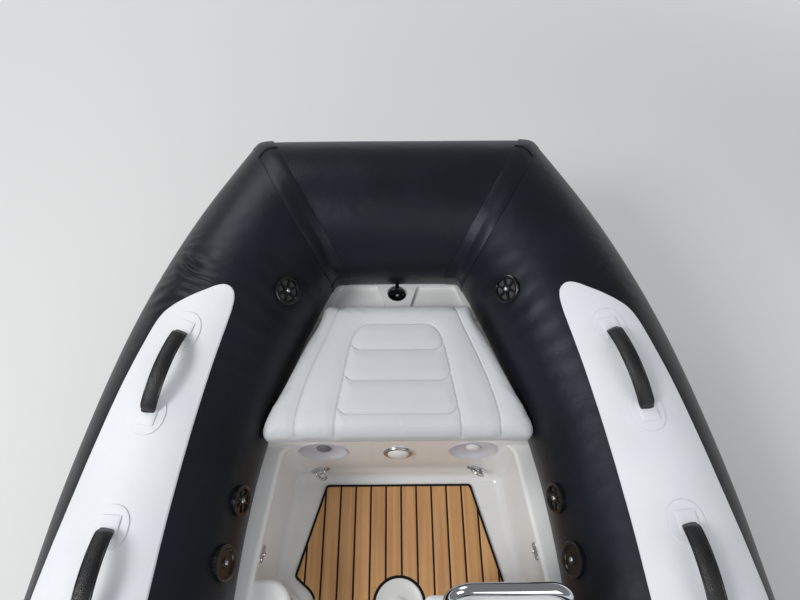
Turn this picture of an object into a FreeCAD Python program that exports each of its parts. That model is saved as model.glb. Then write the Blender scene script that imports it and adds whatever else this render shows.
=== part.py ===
"""Inflatable rigid-bottom tender with a squared bow, in millimetres.

+X points to the bow, +Y to port and +Z up. The origin is on the underside of the flat keel pad.
Port pieces are drawn and mirrored. The outboard motor is drawn upright, then turned to its tilt.
"""
import FreeCAD, Part
import math
import os

V = FreeCAD.Vector
AXIS_X = V(1, 0, 0)
AXIS_Y = V(0, 1, 0)
AXIS_Z = V(0, 0, 1)

# Clearances
seat_gap = 0.3
shaft_gap = 0.05
turning_gap = 5.0

# Collar: its inner edge in plan is what the photo fixes, and the centre line lies a radius outboard
tube_radius = 210.0
tube_centre_height = 510.0
transom_x = -1300.0
tube_aft_overhang = 60.0
tube_toe_in = 2.0
inner_edge = (
    # x, y, rise of the centre line
    (641, 367, 0),
    (1094, 297, 39),
    (1518, 124, 109),
)
bow_inner_x = 1378.0
tube_bends = [V(x, y + tube_radius, tube_centre_height + rise) for x, y, rise in inner_edge]
bow_tube_x = bow_inner_x + tube_radius
stern_cone_length = 230.0
stern_cone_end_radius = 95.0
stern_cap_length = 45.0
skin = 2.0
seam_tape_width = 50.0
seam_tape_thickness = 1.2
strake_depth = 22.0
strake_first_angle = 179.5
strake_last_angle = 192.5
strake_taper = 2.6

# Pale wear panels: angles run from level on the inboard side, over the crown
panel_first_angle = 50.0
panel_last_angle = 134.0
panel_rows = (
    # x of the tube's centre line, angle over the crown, corner radius in plan
    (-1500, 61.5, 0),
    (641, 61.5, 0),
    (760, 61.6, 0),
    (880, 62.3, 0),
    (1000, 63.6, 0),
    (1110, 65.2, 0),
    (1200, 67.1, 0),
    (1300, 71.0, 30),
    (1174, 112.5, 50),
    (1100, 114.6, 0),
    (1000, 117.5, 0),
    (880, 119.4, 0),
    (770, 121.7, 0),
    (700, 124.0, 0),
    (645, 126.5, 0),
    (560, 130.0, 0),
    (400, 132.0, 0),
    (-1500, 132.0, 0),
)

# Hull
keel_pad_half = 75.0
hull_front_x = 1575.0
hull_top = 450.0
rocker_start_x = 500.0
rocker_rise = 365.0
rocker_power = 3.2
chine_base_height = 168.0
chine_rise = 220.0
chine_power = 2.5
chine_inset = 45.0
chine_flat = 30.0
rail_width = 22.0
rail_shares = (0.34, 0.68)
hull_stations = (transom_x, -400, 300, 650, 900, 1100, 1290, 1440, hull_front_x)
eye_radius = 24.0
eye_bore = 12.5
eye_thickness = 12.0
bow_eye_x = 1420.0
bow_eye_drop = 14.0
stern_eye_y = 400.0
stern_eye_z = 262.0

# Inner moulding
sole_height = 190.0
sole_thickness = 12.0
coaming_top = 452.0
flange_thickness = 22.0
liner_wall = 40.0
flange_reach = 105.0
cove_radius = 26.0
flare_radius = 9.0
locker_face_x = 941.0
face_thickness = 34.0
face_half = 390.0
cockpit_side = (
    # x, y, corner radius in plan
    (0, 362, 3000),
    (611, 341, 1200),
    (locker_face_x, 300, 33),
)
cockpit_aft_half = 402.0
cockpit_aft_x = transom_x - 60.0

# Transom
transom_thickness = 55.0
transom_half = 430.0
transom_side_top = 610.0
transom_cutout_top = 520.0
transom_cutout_half = 225.0

# Bow locker, lid and cushion
locker_wall = 12.0
locker_floor = 300.0
locker_front_x = 1285.0
locker_top = 520.0
lid_thickness = 14.0
lid_aft_x = 925.0
lid_front_x = 1272.0
lid_aft_gap = 14.5
lid_front_gap = 25.0
lid_corner = 24.0
hinge_x = 1283.0
hinge_z = 540.0
hinge_y = 110.0
knuckle_radius = 5.0
knuckle_half = 11.5
pin_radius = 2.5
cushion_aft_gap = 7.0
cushion_front_gap = 25.0
cushion_rows = (
    # height over the lid, inset of the aft edge, of the sides, of the front edge, corner radius
    (0, 6, 6, 24, 17),
    (9, 1, 1, 23, 18),
    (26, 0, 0, 4, 19),
    (42, 4, 2, 1, 21),
    (54, 14, 5, 2, 24),
    (61, 26, 10, 5, 28),
    (66, 45, 19, 11, 33),
)
cushion_aft_x = 911.0
cushion_front_x = 1295.0
cushion_front_corner = 14.0

# Bow step
step_top = 532.0
step_half = 320.0
tray_rows = (
    # x, y, corner radius in plan
    (1270, 19, 0),
    (1395.5, 58, 10),
    (1395.5, 168, 14),
    (1270, 210, 0),
)
keyhole_x = 1371.0
keyhole_radius = 28.5
keyhole_neck = 11.0
keyhole_floor = 466.0

# Locker face fittings
dish_y = 200.0
dish_z = 412.0
dish_radius = 67.0
dish_depth = 14.0
dish_hub_radius = 19.0
latch_z = 395.0
latch_radius = 35.0
face_eye_y = 226.0
face_eye_z = 253.0

# Deck pieces
teak_thickness = 6.0
teak_aft_x = -290.0
teak_rows = (
    # x, y, corner radius, going round from the port side of its aft edge
    (teak_aft_x, 226, 0),
    (617, 226, 60),
    (666, 286, 14),
    (914, 213, 12),
    (914, -213, 12),
    (641, -287, 150),
    (teak_aft_x, -300, 0),
)
well_x = 597.0
well_radius = 69.0
well_bore = 64.0

# Port side locker
side_locker_front_x = 629.0
side_locker_aft_x = -640.0
side_locker_inner_y = 250.0
side_locker_top = 440.0
side_locker_corner = 58.0
side_locker_edge = 14.0

# Console, rail, dash and throttle
console_front_x = 564.0
console_back_x = 250.0
console_inner_y = -48.0
console_outer_y = -318.0
console_foot_y = -88.0
console_front_top = 694.0
console_edge = 14.0
dash_low_z = 600.0
dash_length = 140.0
rail_radius = 12.5
rail_x = 559.0
rail_height = 786.0
rail_inner_y = -90.5
rail_outer_y = -307.0
rail_bend = 40.0
rail_foot_x = 505.0

# Steering wheel
wheel_radius = 165.0
wheel_rim_radius = 14.0
wheel_tilt = 28.0
wheel_up_dash = 45.0
wheel_gap = 60.0
wheel_hub_radius = 38.0
wheel_shaft_radius = 11.0

# Helm seat
seat_front_x = -300.0
seat_back_x = -690.0
seat_side_gap = 17.0
seat_base_top = 470.0
seat_cushion_height = 80.0
back_height = 330.0
back_thickness = 75.0
seat_half = side_locker_inner_y - seat_side_gap

# Outboard motor, upright
tilt_angle = 65.0
pivot_x = -1345.0
pivot_z = 560.0
tilt_tube_radius = 12.0
clamp_plate = 12.0
clamp_half = 84.0
steer_x = -1425.0
steer_shaft_radius = 22.0
swivel_wall = 12.0
swivel_top = 610.0
swivel_bottom = 330.0
plate_top = 10.0
plate_half = 95.0
prop_centre_z = -142.0
gearcase_radius = 52.0
gearcase_front = steer_x - 5.0
gearcase_length = 230.0
prop_hub_radius = 44.0
prop_hub_length = 88.0
prop_shaft_radius = 11.0
prop_pitch = 330.0
blade_rows = (
    # radius, chord, thickness
    (38, 58, 9.0),
    (70, 90, 7.0),
    (100, 98, 5.5),
    (124, 72, 4.0),
    (134, 28, 2.5),
)
leg_rows = (
    # height, front edge and back edge behind the steering axis, half width
    (plate_top, 60, 262, 18),
    (60, 62, 256, 24),
    (200, 64, 240, 30),
    (400, 64, 226, 36),
    (560, 60, 220, 42),
    (626, 56, 224, 52),
)
cowl_bottom = 660.0
cowl_front_x = -1300.0
cowl_back_x = -1800.0
cowl_half = 175.0
cowl_rows = (
    # height, inset of the front, of the back, of the sides, corner radius
    (cowl_bottom, 52, 112, 57, 60),
    (690, 38, 78, 43, 75),
    (760, 16, 34, 17, 95),
    (860, 3, 8, 3, 105),
    (980, 0, 0, 0, 110),
    (1060, 4, 4, 4, 108),
    (1115, 22, 24, 18, 100),
    (1145, 52, 58, 43, 85),
    (1160, 100, 110, 80, 60),
)

# Handles and valves
handle_width = 36.0
handle_thickness = 14.0
handle_rise = 40.0
handle_length = 197.0
handle_starts = (943.0, 487.0)
patch_radius = 44.0
patch_thickness = 2.0
valve_height = 7.0
valve_seats = (
    # x of the tube's centre line, angle above inboard level, radius
    (1335, 41.0, 35.0),
    (801, 15.0, 31.5),
    (649, 19.0, 35.0),
)
bow_valve_x = 1388.0
bow_valve_z = 502.0
bow_valve_rise = 18.0
bow_valve_radius = 25.0
bow_valve_boot = 48.0


def save(name, shape):
    """Write one node as a STEP file."""
    os.makedirs("parts", exist_ok=True)
    shape.exportStep("parts/" + name + ".step")
    print(name, len(shape.Solids), "solids", round(shape.Volume / 1e6, 3), "litres")


def box(x_range, y_range, z_range):
    """A block between two corners."""
    low = V(x_range[0], y_range[0], z_range[0])
    return Part.makeBox(x_range[1] - x_range[0], y_range[1] - y_range[0], z_range[1] - z_range[0], low)


def rounded_wire(points, radii):
    """A closed wire through points in one plane, each corner rounded to its radius."""
    corners = []
    for number, corner in enumerate(points):
        radius = radii[number]
        if radius <= 0:
            corners.append((corner, None, corner))
            continue
        back = (points[number - 1] - corner).normalize()
        ahead = (points[(number + 1) % len(points)] - corner).normalize()
        half_angle = back.getAngle(ahead) / 2
        towards_centre = (back + ahead).normalize()
        reach = radius / math.tan(half_angle)
        middle = corner + towards_centre * (radius / math.sin(half_angle) - radius)
        corners.append((corner + back * reach, middle, corner + ahead * reach))
    edges = []
    for number, (first, middle, last) in enumerate(corners):
        if middle is not None:
            edges.append(Part.Arc(first, middle, last).toShape())
        following = corners[(number + 1) % len(corners)][0]
        if (following - last).Length > 1e-6:
            edges.append(Part.LineSegment(last, following).toShape())
    return Part.Wire(edges)


def plan_wire(rows, height):
    """A closed wire at one height, from rows of x, y and corner radius."""
    return rounded_wire([V(x, y, height) for x, y, radius in rows], [row[2] for row in rows])


def prism(rows, low, high):
    """A plan outline of (x, y, corner radius) rows, pulled up from one height to another."""
    return Part.Face(plan_wire(rows, low)).extrude(V(0, 0, high - low))


def side_prism(rows, low, high):
    """A side outline of (x, z, corner radius) rows, pulled across from one y to another."""
    wire = rounded_wire([V(x, low, z) for x, z, radius in rows], [row[2] for row in rows])
    return Part.Face(wire).extrude(V(0, high - low, 0))


def whole_plan(port_rows):
    """Port rows of a plan outline, completed with their mirror image."""
    return list(port_rows) + [(x, -y, radius) for x, y, radius in reversed(port_rows)]


def oblong_rows(front, back, half, corner):
    """Rows of a rounded rectangle across the centre plane."""
    return [(front, half, corner), (back, half, corner), (back, -half, corner), (front, -half, corner)]


def mirrored(shape):
    """The same shape on the other side of the centre plane."""
    return shape.mirror(V(0, 0, 0), AXIS_Y)


def both_sides(shape):
    """The port shape and its mirror image, as one compound."""
    return Part.makeCompound([shape, mirrored(shape)])


def fused(shapes):
    """One shape from many, with seams between coplanar faces removed."""
    first = shapes[0]
    if len(shapes) > 1:
        first = first.fuse(shapes[1:])
    return first.removeSplitter()


def largest(shape):
    """The biggest solid of a shape, without the offcuts."""
    return max(shape.Solids, key=lambda solid: solid.Volume)


def edges_where(shape, test):
    """The edges whose ends all pass a test on their points."""
    return [edge for edge in shape.Edges if all(test(vertex.Point) for vertex in edge.Vertexes)]


def turned(vector, axis, degrees):
    """A vector turned about an axis."""
    return FreeCAD.Rotation(axis, degrees).multVec(vector)


def arc_through(start, heading, end):
    """Centre, axis and turn in degrees of the arc that leaves start along heading and meets end."""
    chord = end - start
    normal = heading.cross(chord).normalize()
    across = normal.cross(heading).normalize()
    radius = chord.dot(chord) / (2 * chord.dot(across))
    turn = 2 * math.atan2(heading.cross(chord).Length, heading.dot(chord))
    return start + across * radius, normal, math.degrees(turn)


def tube_path():
    """The port tube's centre line from stern to bow corner, as lines and arcs, and its end."""
    toe = math.radians(tube_toe_in)
    heading = V(math.cos(toe), -math.sin(toe), 0)
    aft_length = (tube_bends[0].x - transom_x + tube_aft_overhang) / heading.x
    start = tube_bends[0] - heading * aft_length
    steps = [("line", start, heading, aft_length)]
    place = tube_bends[0]
    for target in tube_bends[1:]:
        centre, axis, turn = arc_through(place, heading, target)
        steps.append(("arc", centre, axis, turn))
        heading = turned(heading, axis, turn)
        place = target
    last = (bow_tube_x - place.x) / heading.x
    corner = place + heading * last
    return start, steps, heading, last, corner


tube_start, tube_steps, tube_last_heading, tube_last_length, bow_corner = tube_path()
tube_first_heading = tube_steps[0][2]


def tube_line_at(x):
    """Centre, heading and crown direction of the port tube at a distance along the boat."""
    heading = tube_first_heading
    up = AXIS_Z
    place = tube_bends[0]
    if x <= place.x:
        return place + heading * ((x - place.x) / heading.x), heading, up
    for step, target in zip(tube_steps[1:], tube_bends[1:]):
        centre, axis, turn = step[1:]
        if x <= target.x:
            low, high = 0.0, turn
            for _ in range(40):
                middle = (low + high) / 2
                if (centre + turned(place - centre, axis, middle)).x < x:
                    low = middle
                else:
                    high = middle
            spot = centre + turned(place - centre, axis, low)
            return spot, turned(heading, axis, low), turned(up, axis, low)
        heading = turned(heading, axis, turn)
        up = turned(up, axis, turn)
        place = target
    return place + heading * ((x - place.x) / heading.x), heading, up


def tube_spot(x, angle, lift):
    """A point over the port tube's skin, its outward direction and the tube's heading there."""
    place, heading, up = tube_line_at(x)
    inboard = heading.cross(up)
    a = math.radians(angle)
    out = inboard * math.cos(a) + up * math.sin(a)
    return place + out * (tube_radius + lift), out, heading


def inboard_edge(x, z, clearance):
    """How far from the centre plane a piece may reach at x and z, with a clearance to the tube."""
    place, heading, up = tube_line_at(x)
    drop = z - place.z
    level = math.hypot(heading.x, heading.y)
    reach = math.sqrt(max((tube_radius + clearance) ** 2 - drop ** 2, 0.0))
    return place.y - reach * level / heading.x


def follow_tube(section, overrun):
    """Carry a flat section, drawn at the tube's aft end, forward along the port tube."""
    pieces = []
    for step in tube_steps:
        if step[0] == "line":
            move = step[2] * step[3]
            pieces.append(section.extrude(move))
            section = section.translated(move)
        else:
            pieces.append(section.copy().revolve(step[1], step[2], step[3]))
            section = section.copy()
            section.rotate(step[1], step[2], step[3])
    pieces.append(section.extrude(tube_last_heading * (tube_last_length + overrun)))
    return fused(pieces)


def ring_section(centre, inboard, inner, outer, first, last, taper=0.0):
    """A sector of a ring about a tube's axis, its outer face narrowed by a taper in degrees."""

    def spot(radius, angle):
        a = math.radians(angle)
        return centre + inboard * (radius * math.cos(a)) + AXIS_Z * (radius * math.sin(a))

    middle = (first + last) / 2
    edges = [
        Part.Arc(spot(outer, first + taper), spot(outer, middle), spot(outer, last - taper)).toShape(),
        Part.LineSegment(spot(outer, last - taper), spot(inner, last)).toShape(),
        Part.Arc(spot(inner, last), spot(inner, middle), spot(inner, first)).toShape(),
        Part.LineSegment(spot(inner, first), spot(outer, first + taper)).toShape(),
    ]
    return Part.Face(Part.Wire(edges))


def side_tube(radius, overrun=200.0):
    """The port tube as a round solid of a radius, from its aft end to past the bow corner."""
    circle = Part.Circle(tube_start, tube_first_heading, radius).toShape()
    return follow_tube(Part.Face(Part.Wire([circle])), overrun)


def bow_tube(radius):
    """The tube across the bow, square ended and longer than its mitres."""
    half = bow_corner.y + 2.2 * tube_radius
    return Part.makeCylinder(radius, 2 * half, V(bow_corner.x, -half, bow_corner.z), AXIS_Y)


def half_space(point, normal, size=4000.0):
    """A large block on the side of a plane that its normal points to."""
    block = Part.makeBox(size, size, size, V(-size / 2, -size / 2, 0))
    block.Placement = FreeCAD.Placement(point, FreeCAD.Rotation(AXIS_Z, normal))
    return block


def mitre_normal():
    """Normal of the plane in which the port tube meets the bow tube."""
    return (tube_last_heading + V(0, -1, 0)).normalize()


def bow_mitred(shape):
    """A shape across the bow, cut at both mitres."""
    normal = mitre_normal()
    other = V(bow_corner.x, -bow_corner.y, bow_corner.z)
    shape = shape.common(half_space(bow_corner, normal))
    return shape.common(half_space(other, V(normal.x, -normal.y, normal.z)))


def collar_cutters(gap):
    """The tubes with a gap round them, run past their mitres, to cut what lies inside the collar."""
    side = side_tube(tube_radius + gap)
    return [side, mirrored(side), bow_tube(tube_radius + gap)]


def make_collar():
    """The port tube cut at its mitre, and the bow tube cut at both."""
    port = side_tube(tube_radius).cut(half_space(bow_corner, mitre_normal()))
    return port, bow_mitred(bow_tube(tube_radius))


def make_stern_cone():
    """The tapered end of the port tube with its rounded cap."""
    back = tube_first_heading * -1
    cone = Part.makeCone(tube_radius, stern_cone_end_radius, stern_cone_length, tube_start, back)
    tip = tube_start + back * stern_cone_length
    cap = Part.makeCone(stern_cone_end_radius, stern_cone_end_radius * 0.55, stern_cap_length, tip, back)
    return fused([cone, cap])


def make_wear_panel():
    """The pale panel on the port tube's crown, narrower at its rounded front end."""
    inboard = AXIS_Z.cross(tube_first_heading) * -1
    section = ring_section(
        tube_start, inboard, tube_radius, tube_radius + skin, panel_first_angle, panel_last_angle
    )
    outline = []
    for x, angle, corner in panel_rows:
        spot = tube_spot(x, angle, 0)[0]
        outline.append((spot.x, spot.y, corner))
    return follow_tube(section, 0).common(prism(outline, tube_centre_height, 1000))


def make_seam_tapes():
    """A tape over each bow mitre, one strip on the side tube and one on the bow tube."""
    normal = mitre_normal()
    back = half_space(bow_corner - normal * (seam_tape_width / 2), normal)
    side_end = half_space(bow_corner - normal * (seat_gap / 2), normal)
    bow_end = half_space(bow_corner + normal * (seat_gap / 2), normal)
    front = half_space(bow_corner + normal * (seam_tape_width / 2), normal)
    outward = V(-normal.y, normal.x, 0).normalize()
    hidden = half_space(bow_corner + outward * -20 - AXIS_Z * tube_radius, outward * -0.49 - AXIS_Z * 0.871)
    grown = tube_radius + seam_tape_thickness
    side = side_tube(grown).common(back).cut(side_end).cut(side_tube(tube_radius))
    bow = bow_tube(grown).common(bow_end).cut(front).cut(bow_tube(tube_radius))
    bow = bow.common(half_space(V(0, 0, 0), AXIS_Y))
    return both_sides(Part.makeCompound([side.cut(hidden), bow.cut(hidden)]))


def make_rub_strake():
    """The rubbing strake round the collar: its port run and its run across the bow."""
    inboard = AXIS_Z.cross(tube_first_heading) * -1
    angles = (strake_first_angle, strake_last_angle, strake_taper)
    inner = tube_radius + seam_tape_thickness + seat_gap
    outer = tube_radius + strake_depth
    section = ring_section(tube_start, inboard, inner, outer, *angles)
    side = follow_tube(section, 300).cut(half_space(bow_corner, mitre_normal()))
    middle = V(bow_corner.x, -1000, bow_corner.z)
    across = ring_section(middle, AXIS_X * -1, inner, outer, *angles)
    return side, bow_mitred(across.extrude(AXIS_Y * 2000))


def hull_section(x):
    """Points (y, z) of one hull station, from the keel pad over two spray rails to the chine."""
    ahead = max(0.0, (x - rocker_start_x) / (hull_front_x - rocker_start_x))
    keel = rocker_rise * ahead ** rocker_power
    chine = chine_base_height + chine_rise * ahead ** chine_power
    half = tube_line_at(x)[0].y - chine_inset
    width = half - chine_flat - keel_pad_half
    slope = (chine - keel) / width
    points = [(keel_pad_half, keel)]
    for share in rail_shares:
        y = keel_pad_half + share * width
        z = keel + slope * share * width
        points += [(y, z), (y + rail_width, z), (y + rail_width, z + slope * rail_width)]
    return points + [(half - chine_flat, chine), (half, chine), (half, hull_top)]


def liner_envelope():
    """The outside of the inner moulding: its body, its flange and the locker's face panel."""
    back_x = locker_face_x + face_thickness
    body = prism(cockpit_rows(liner_wall, back_x), sole_height - sole_thickness, coaming_top)
    flange = prism(cockpit_rows(flange_reach, back_x), coaming_top - flange_thickness, coaming_top)
    face = box((locker_face_x, back_x), (-face_half, face_half), (sole_height - sole_thickness, locker_top))
    return fused([body, flange, face])


def cockpit_rows(extra, front_x):
    """The cockpit's plan widened by extra, from the transom's aft face to front_x, square cornered."""
    side = [(transom_x, cockpit_aft_half - 2 + extra, 0)]
    side += [(x, y + extra, 0) for x, y, corner in cockpit_side]
    (prev_x, prev_y, corner), (last_x, last_y, corner) = side[-2:]
    slope = (last_y - prev_y) / (last_x - prev_x)
    side.append((front_x, last_y + slope * (front_x - last_x), 0))
    return whole_plan(side)


def cockpit_void():
    """The space inside the cockpit: coved at the sole, rounded where the walls meet the face."""
    rows = whole_plan([(cockpit_aft_x, cockpit_aft_half, 0)] + list(cockpit_side))
    space = prism(rows, sole_height, 800)

    def at_foot(point):
        return abs(point.z - sole_height) < 0.01

    foot = [e for e in edges_where(space, at_foot) if e.CenterOfMass.x > cockpit_aft_x + 1]
    return space.makeFillet(cove_radius, foot)


def coaming_flare():
    """A cutter that rounds the top edge of the cockpit's side walls."""
    wires = []
    for angle in (0, 30, 60, 90):
        a = math.radians(angle)
        offset = flare_radius * (1 - math.cos(a))
        height = coaming_top - flare_radius * (1 - math.sin(a))
        side = [(cockpit_aft_x, cockpit_aft_half + offset, 0)]
        side += [(x, y + offset, corner) for x, y, corner in cockpit_side]
        wires.append(plan_wire(whole_plan(side), height))
    top = wires[-1].copy()
    top.translate(V(0, 0, 300))
    return Part.makeLoft(wires + [top], True, True)


def make_liner():
    """The inner moulding, with recesses in its locker face for the two dished fittings."""
    shape = liner_envelope().cut([cockpit_void(), coaming_flare()] + collar_cutters(seat_gap))
    recesses = []
    for side in (1, -1):
        recesses.append(Part.makeCylinder(dish_radius, dish_depth + 5, V(locker_face_x - 5, side * dish_y, dish_z), AXIS_X))
    return largest(shape.cut(recesses))


def make_hull():
    """The moulded bottom: stations lofted from transom to bow, less the collar and the liner."""
    wires = []
    for x in hull_stations:
        half = hull_section(x)
        ring = [V(x, y, z) for y, z in half] + [V(x, -y, z) for y, z in reversed(half)]
        wires.append(Part.makePolygon(ring + ring[:1]))
    body = Part.makeLoft(wires, True, True)
    cuts = collar_cutters(seat_gap) + [liner_envelope(), prism(locker_rows(0), locker_floor, hull_top + 1)]
    return largest(body.cut(cuts))


def locker_rows(inset):
    """The plan of the bow locker drawn in by an inset at its back and sides, wide enough to reach the tubes."""
    back_x = locker_face_x + face_thickness
    return whole_plan([(back_x + inset, 380 - inset, 0), (locker_front_x, 330 - inset, 0)])


def make_locker():
    """The bow locker behind the face panel: its side and front walls and its floor."""
    back_x = locker_face_x + face_thickness
    block = prism(locker_rows(seat_gap), locker_floor, locker_top)
    inside = whole_plan([(back_x - 1, 262, 0), (locker_front_x - locker_wall, 200, 30)])
    cavity = prism(inside, locker_floor + 10, locker_top + 1)
    return largest(block.cut([cavity] + collar_cutters(seat_gap)))


def make_transom():
    """The transom board with its motor cut-out and rounded shoulders."""
    rows = (
        # y, z, corner radius
        (transom_half, sole_height, 0),
        (transom_half, transom_side_top, 40),
        (transom_cutout_half, transom_side_top, 25),
        (transom_cutout_half, transom_cutout_top, 25),
    )
    points = [V(transom_x, y, z) for y, z, r in rows] + [V(transom_x, -y, z) for y, z, r in reversed(rows)]
    radii = [r for y, z, r in rows] + [r for y, z, r in reversed(rows)]
    board = Part.Face(rounded_wire(points, radii)).extrude(AXIS_X * transom_thickness)
    return largest(board.cut([make_liner()] + collar_cutters(seat_gap)))


def make_bow_step():
    """The moulded step ahead of the lid, with two trays and a keyhole for the bow valve."""
    block = box((locker_front_x + seat_gap, bow_tube_x), (-step_half, step_half), (hull_top, step_top))
    shape = largest(block.cut(collar_cutters(seat_gap)))
    tray = prism(tray_rows, locker_top, step_top + 1)
    hole = Part.makeCylinder(keyhole_radius, 200, V(keyhole_x, 0, keyhole_floor))
    half_neck = keyhole_neck / 2
    neck = box((keyhole_x, bow_tube_x), (-half_neck, half_neck), (keyhole_floor, step_top + 1))
    place, out = bow_valve_seat()
    inner = place - out * (bow_valve_boot + 60)
    outer = place + out * (valve_height + 2)
    boot = Part.makeCylinder(bow_valve_radius + 1, (outer - inner).Length, inner, out)
    return largest(shape.cut([tray, mirrored(tray), hole, neck, boot]))


def lid_half(x):
    """Half width of the lid at a station, from its clearances to the tubes."""
    low = locker_top + lid_thickness / 2
    aft = inboard_edge(lid_aft_x, low, 0) - lid_aft_gap
    front = inboard_edge(lid_front_x, low, 0) - lid_front_gap
    return aft + (front - aft) * (x - lid_aft_x) / (lid_front_x - lid_aft_x)


def make_lid():
    """The locker lid with the two hinge knuckles at its forward edge."""
    top = locker_top + lid_thickness
    rows = [(lid_aft_x, lid_half(lid_aft_x), lid_corner), (lid_front_x, lid_half(lid_front_x), lid_corner / 2)]
    pieces = [prism(whole_plan(rows), locker_top, top)]
    bores = []
    for side in (1, -1):
        low = side * hinge_y - knuckle_half
        high = side * hinge_y + knuckle_half
        pieces.append(box((lid_front_x - 10, hinge_x), (low, high), (top - 8, top)))
        pieces.append(box((hinge_x - 4, hinge_x + 2), (low, high), (top - 8, hinge_z)))
        pieces.append(Part.makeCylinder(knuckle_radius, high - low, V(hinge_x, low, hinge_z), AXIS_Y))
        bores.append(
            Part.makeCylinder(pin_radius + shaft_gap, high - low + 2, V(hinge_x, low - 1, hinge_z), AXIS_Y)
        )
    return fused(pieces).cut(bores)


def make_lid_hinges():
    """The fixed halves of the lid's two hinges: foot, two lugs and the pin between them."""
    hinges = []
    for side in (1, -1):
        centre = side * hinge_y
        outer = knuckle_half + 10.5
        pieces = [Part.makeCylinder(pin_radius, 2 * outer, V(hinge_x, centre - outer, hinge_z), AXIS_Y)]
        foot = box((hinge_x - 2, hinge_x + 24), (centre - outer, centre + outer), (locker_top + seat_gap, locker_top + 3))
        pieces.append(foot)
        for low in (centre - outer, centre + knuckle_half + 0.5):
            pieces.append(Part.makeCylinder(knuckle_radius, 10, V(hinge_x, low, hinge_z), AXIS_Y))
            pieces.append(box((hinge_x - 1, hinge_x + 5), (low, low + 10), (locker_top + 1, hinge_z)))
        hinges.append(fused(pieces))
    return Part.makeCompound(hinges)


def make_cushion():
    """The bow cushion: rolled edges, its sides leaning in so that it clears the tubes as it opens."""
    low = locker_top + lid_thickness + seat_gap
    middle = low + 30
    aft_half = inboard_edge(cushion_aft_x, middle, 0) - cushion_aft_gap
    front_half = inboard_edge(cushion_front_x, middle, 0) - cushion_front_gap
    wires = []
    for height, aft_inset, side_inset, front_inset, corner in cushion_rows:
        rows = [
            (cushion_aft_x + aft_inset, aft_half - side_inset, corner),
            (cushion_front_x - front_inset, front_half - side_inset, cushion_front_corner),
        ]
        wires.append(plan_wire(whole_plan(rows), low + height))
    return Part.makeLoft(wires, True, True)


def make_teak():
    """The teak pad on the sole, cut round the deck fitting and the console."""
    pad = prism(teak_rows, sole_height, sole_height + teak_thickness)
    hole = Part.makeCylinder(well_radius, 40, V(well_x, 0, sole_height - 10))
    console = box((console_back_x, console_front_x + 4), (console_outer_y - 50, console_foot_y + 4), (0, 900))
    return largest(pad.cut([hole, console]))


def make_well():
    """The round deck fitting in the teak."""
    ring = Part.makeCylinder(well_radius - seat_gap, teak_thickness + 3, V(well_x, 0, sole_height))
    dish = Part.makeCone(well_bore - 14, well_bore, teak_thickness + 1, V(well_x, 0, sole_height + 2.5))
    knob = Part.makeCylinder(11, 4, V(well_x, 0, sole_height + 2.5))
    return fused([ring.cut(dish), knob])


def make_side_locker():
    """The moulded locker along the port side, with a rounded inboard corner and soft top edges."""
    rows = (
        # x, y, corner radius
        (side_locker_front_x, side_locker_inner_y, side_locker_corner),
        (side_locker_front_x, 460, 0),
        (side_locker_aft_x, 460, 0),
        (side_locker_aft_x, side_locker_inner_y, 20),
    )
    block = prism(rows, sole_height, side_locker_top)

    def on_top(point):
        return abs(point.z - side_locker_top) < 0.01

    rim = [edge for edge in edges_where(block, on_top) if edge.CenterOfMass.y < 459]
    return block.makeFillet(side_locker_edge, rim).common(cockpit_void())


def dash_frame():
    """Foot, upward direction and outward direction of the console's sloped dash."""
    tilt = math.radians(wheel_tilt)
    foot = V(console_back_x, (console_inner_y + console_outer_y) / 2, dash_low_z)
    return foot, V(math.sin(tilt), 0, math.cos(tilt)), V(-math.cos(tilt), 0, math.sin(tilt))


def make_console():
    """The helm console to starboard, narrow at its foot and square to the wheel at its dash."""
    foot, up, out = dash_frame()
    brow = foot + up * dash_length
    rows = (
        # x, z, corner radius
        (console_front_x, sole_height, 0),
        (console_front_x, console_front_top, 22),
        (brow.x, brow.z, 14),
        (console_back_x, dash_low_z, 30),
        (console_back_x + 45, sole_height, 0),
    )
    shape = side_prism(rows, console_outer_y, console_inner_y)

    def on_side(point):
        return point.y > console_inner_y - 0.01 or point.y < console_outer_y + 0.01

    rim = [
        edge
        for edge in edges_where(shape, on_side)
        if abs(edge.Vertexes[0].Y - edge.Vertexes[-1].Y) < 0.01 and edge.CenterOfMass.z > sole_height + 1
    ]
    shape = shape.makeFillet(console_edge, rim)
    waist = sole_height + 330
    profile = [
        (console_inner_y + 30, sole_height - 1),
        (console_inner_y + 30, waist),
        (console_inner_y, waist),
        (console_foot_y, sole_height - 1),
    ]
    points = [V(console_back_x - 1, y, z) for y, z in profile]
    wedge = Part.Face(Part.makePolygon(points + points[:1])).extrude(V(400, 0, 0))
    centre, axis = wheel_frame()
    bore = Part.makeCylinder(wheel_shaft_radius + shaft_gap, 200, centre - axis * 200, axis)
    return shape.cut([wedge, bore])


def make_dash_panel():
    """The black instrument panel on the dash, with two round gauges."""
    foot, up, out = dash_frame()
    corners = [foot + up * 84, foot + up * 132, foot + up * 132 + out * 3, foot + up * 84 + out * 3]
    rows = [(corner.x, corner.z, 0) for corner in corners]
    plate = side_prism(rows, foot.y - 112, foot.y + 112)
    gauges = []
    for offset in (-60, 0, 60):
        centre = foot + up * 108 + AXIS_Y * offset + out * 2
        gauges.append(Part.makeCylinder(20, 6, centre, out))
    return fused([plate] + gauges)


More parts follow.
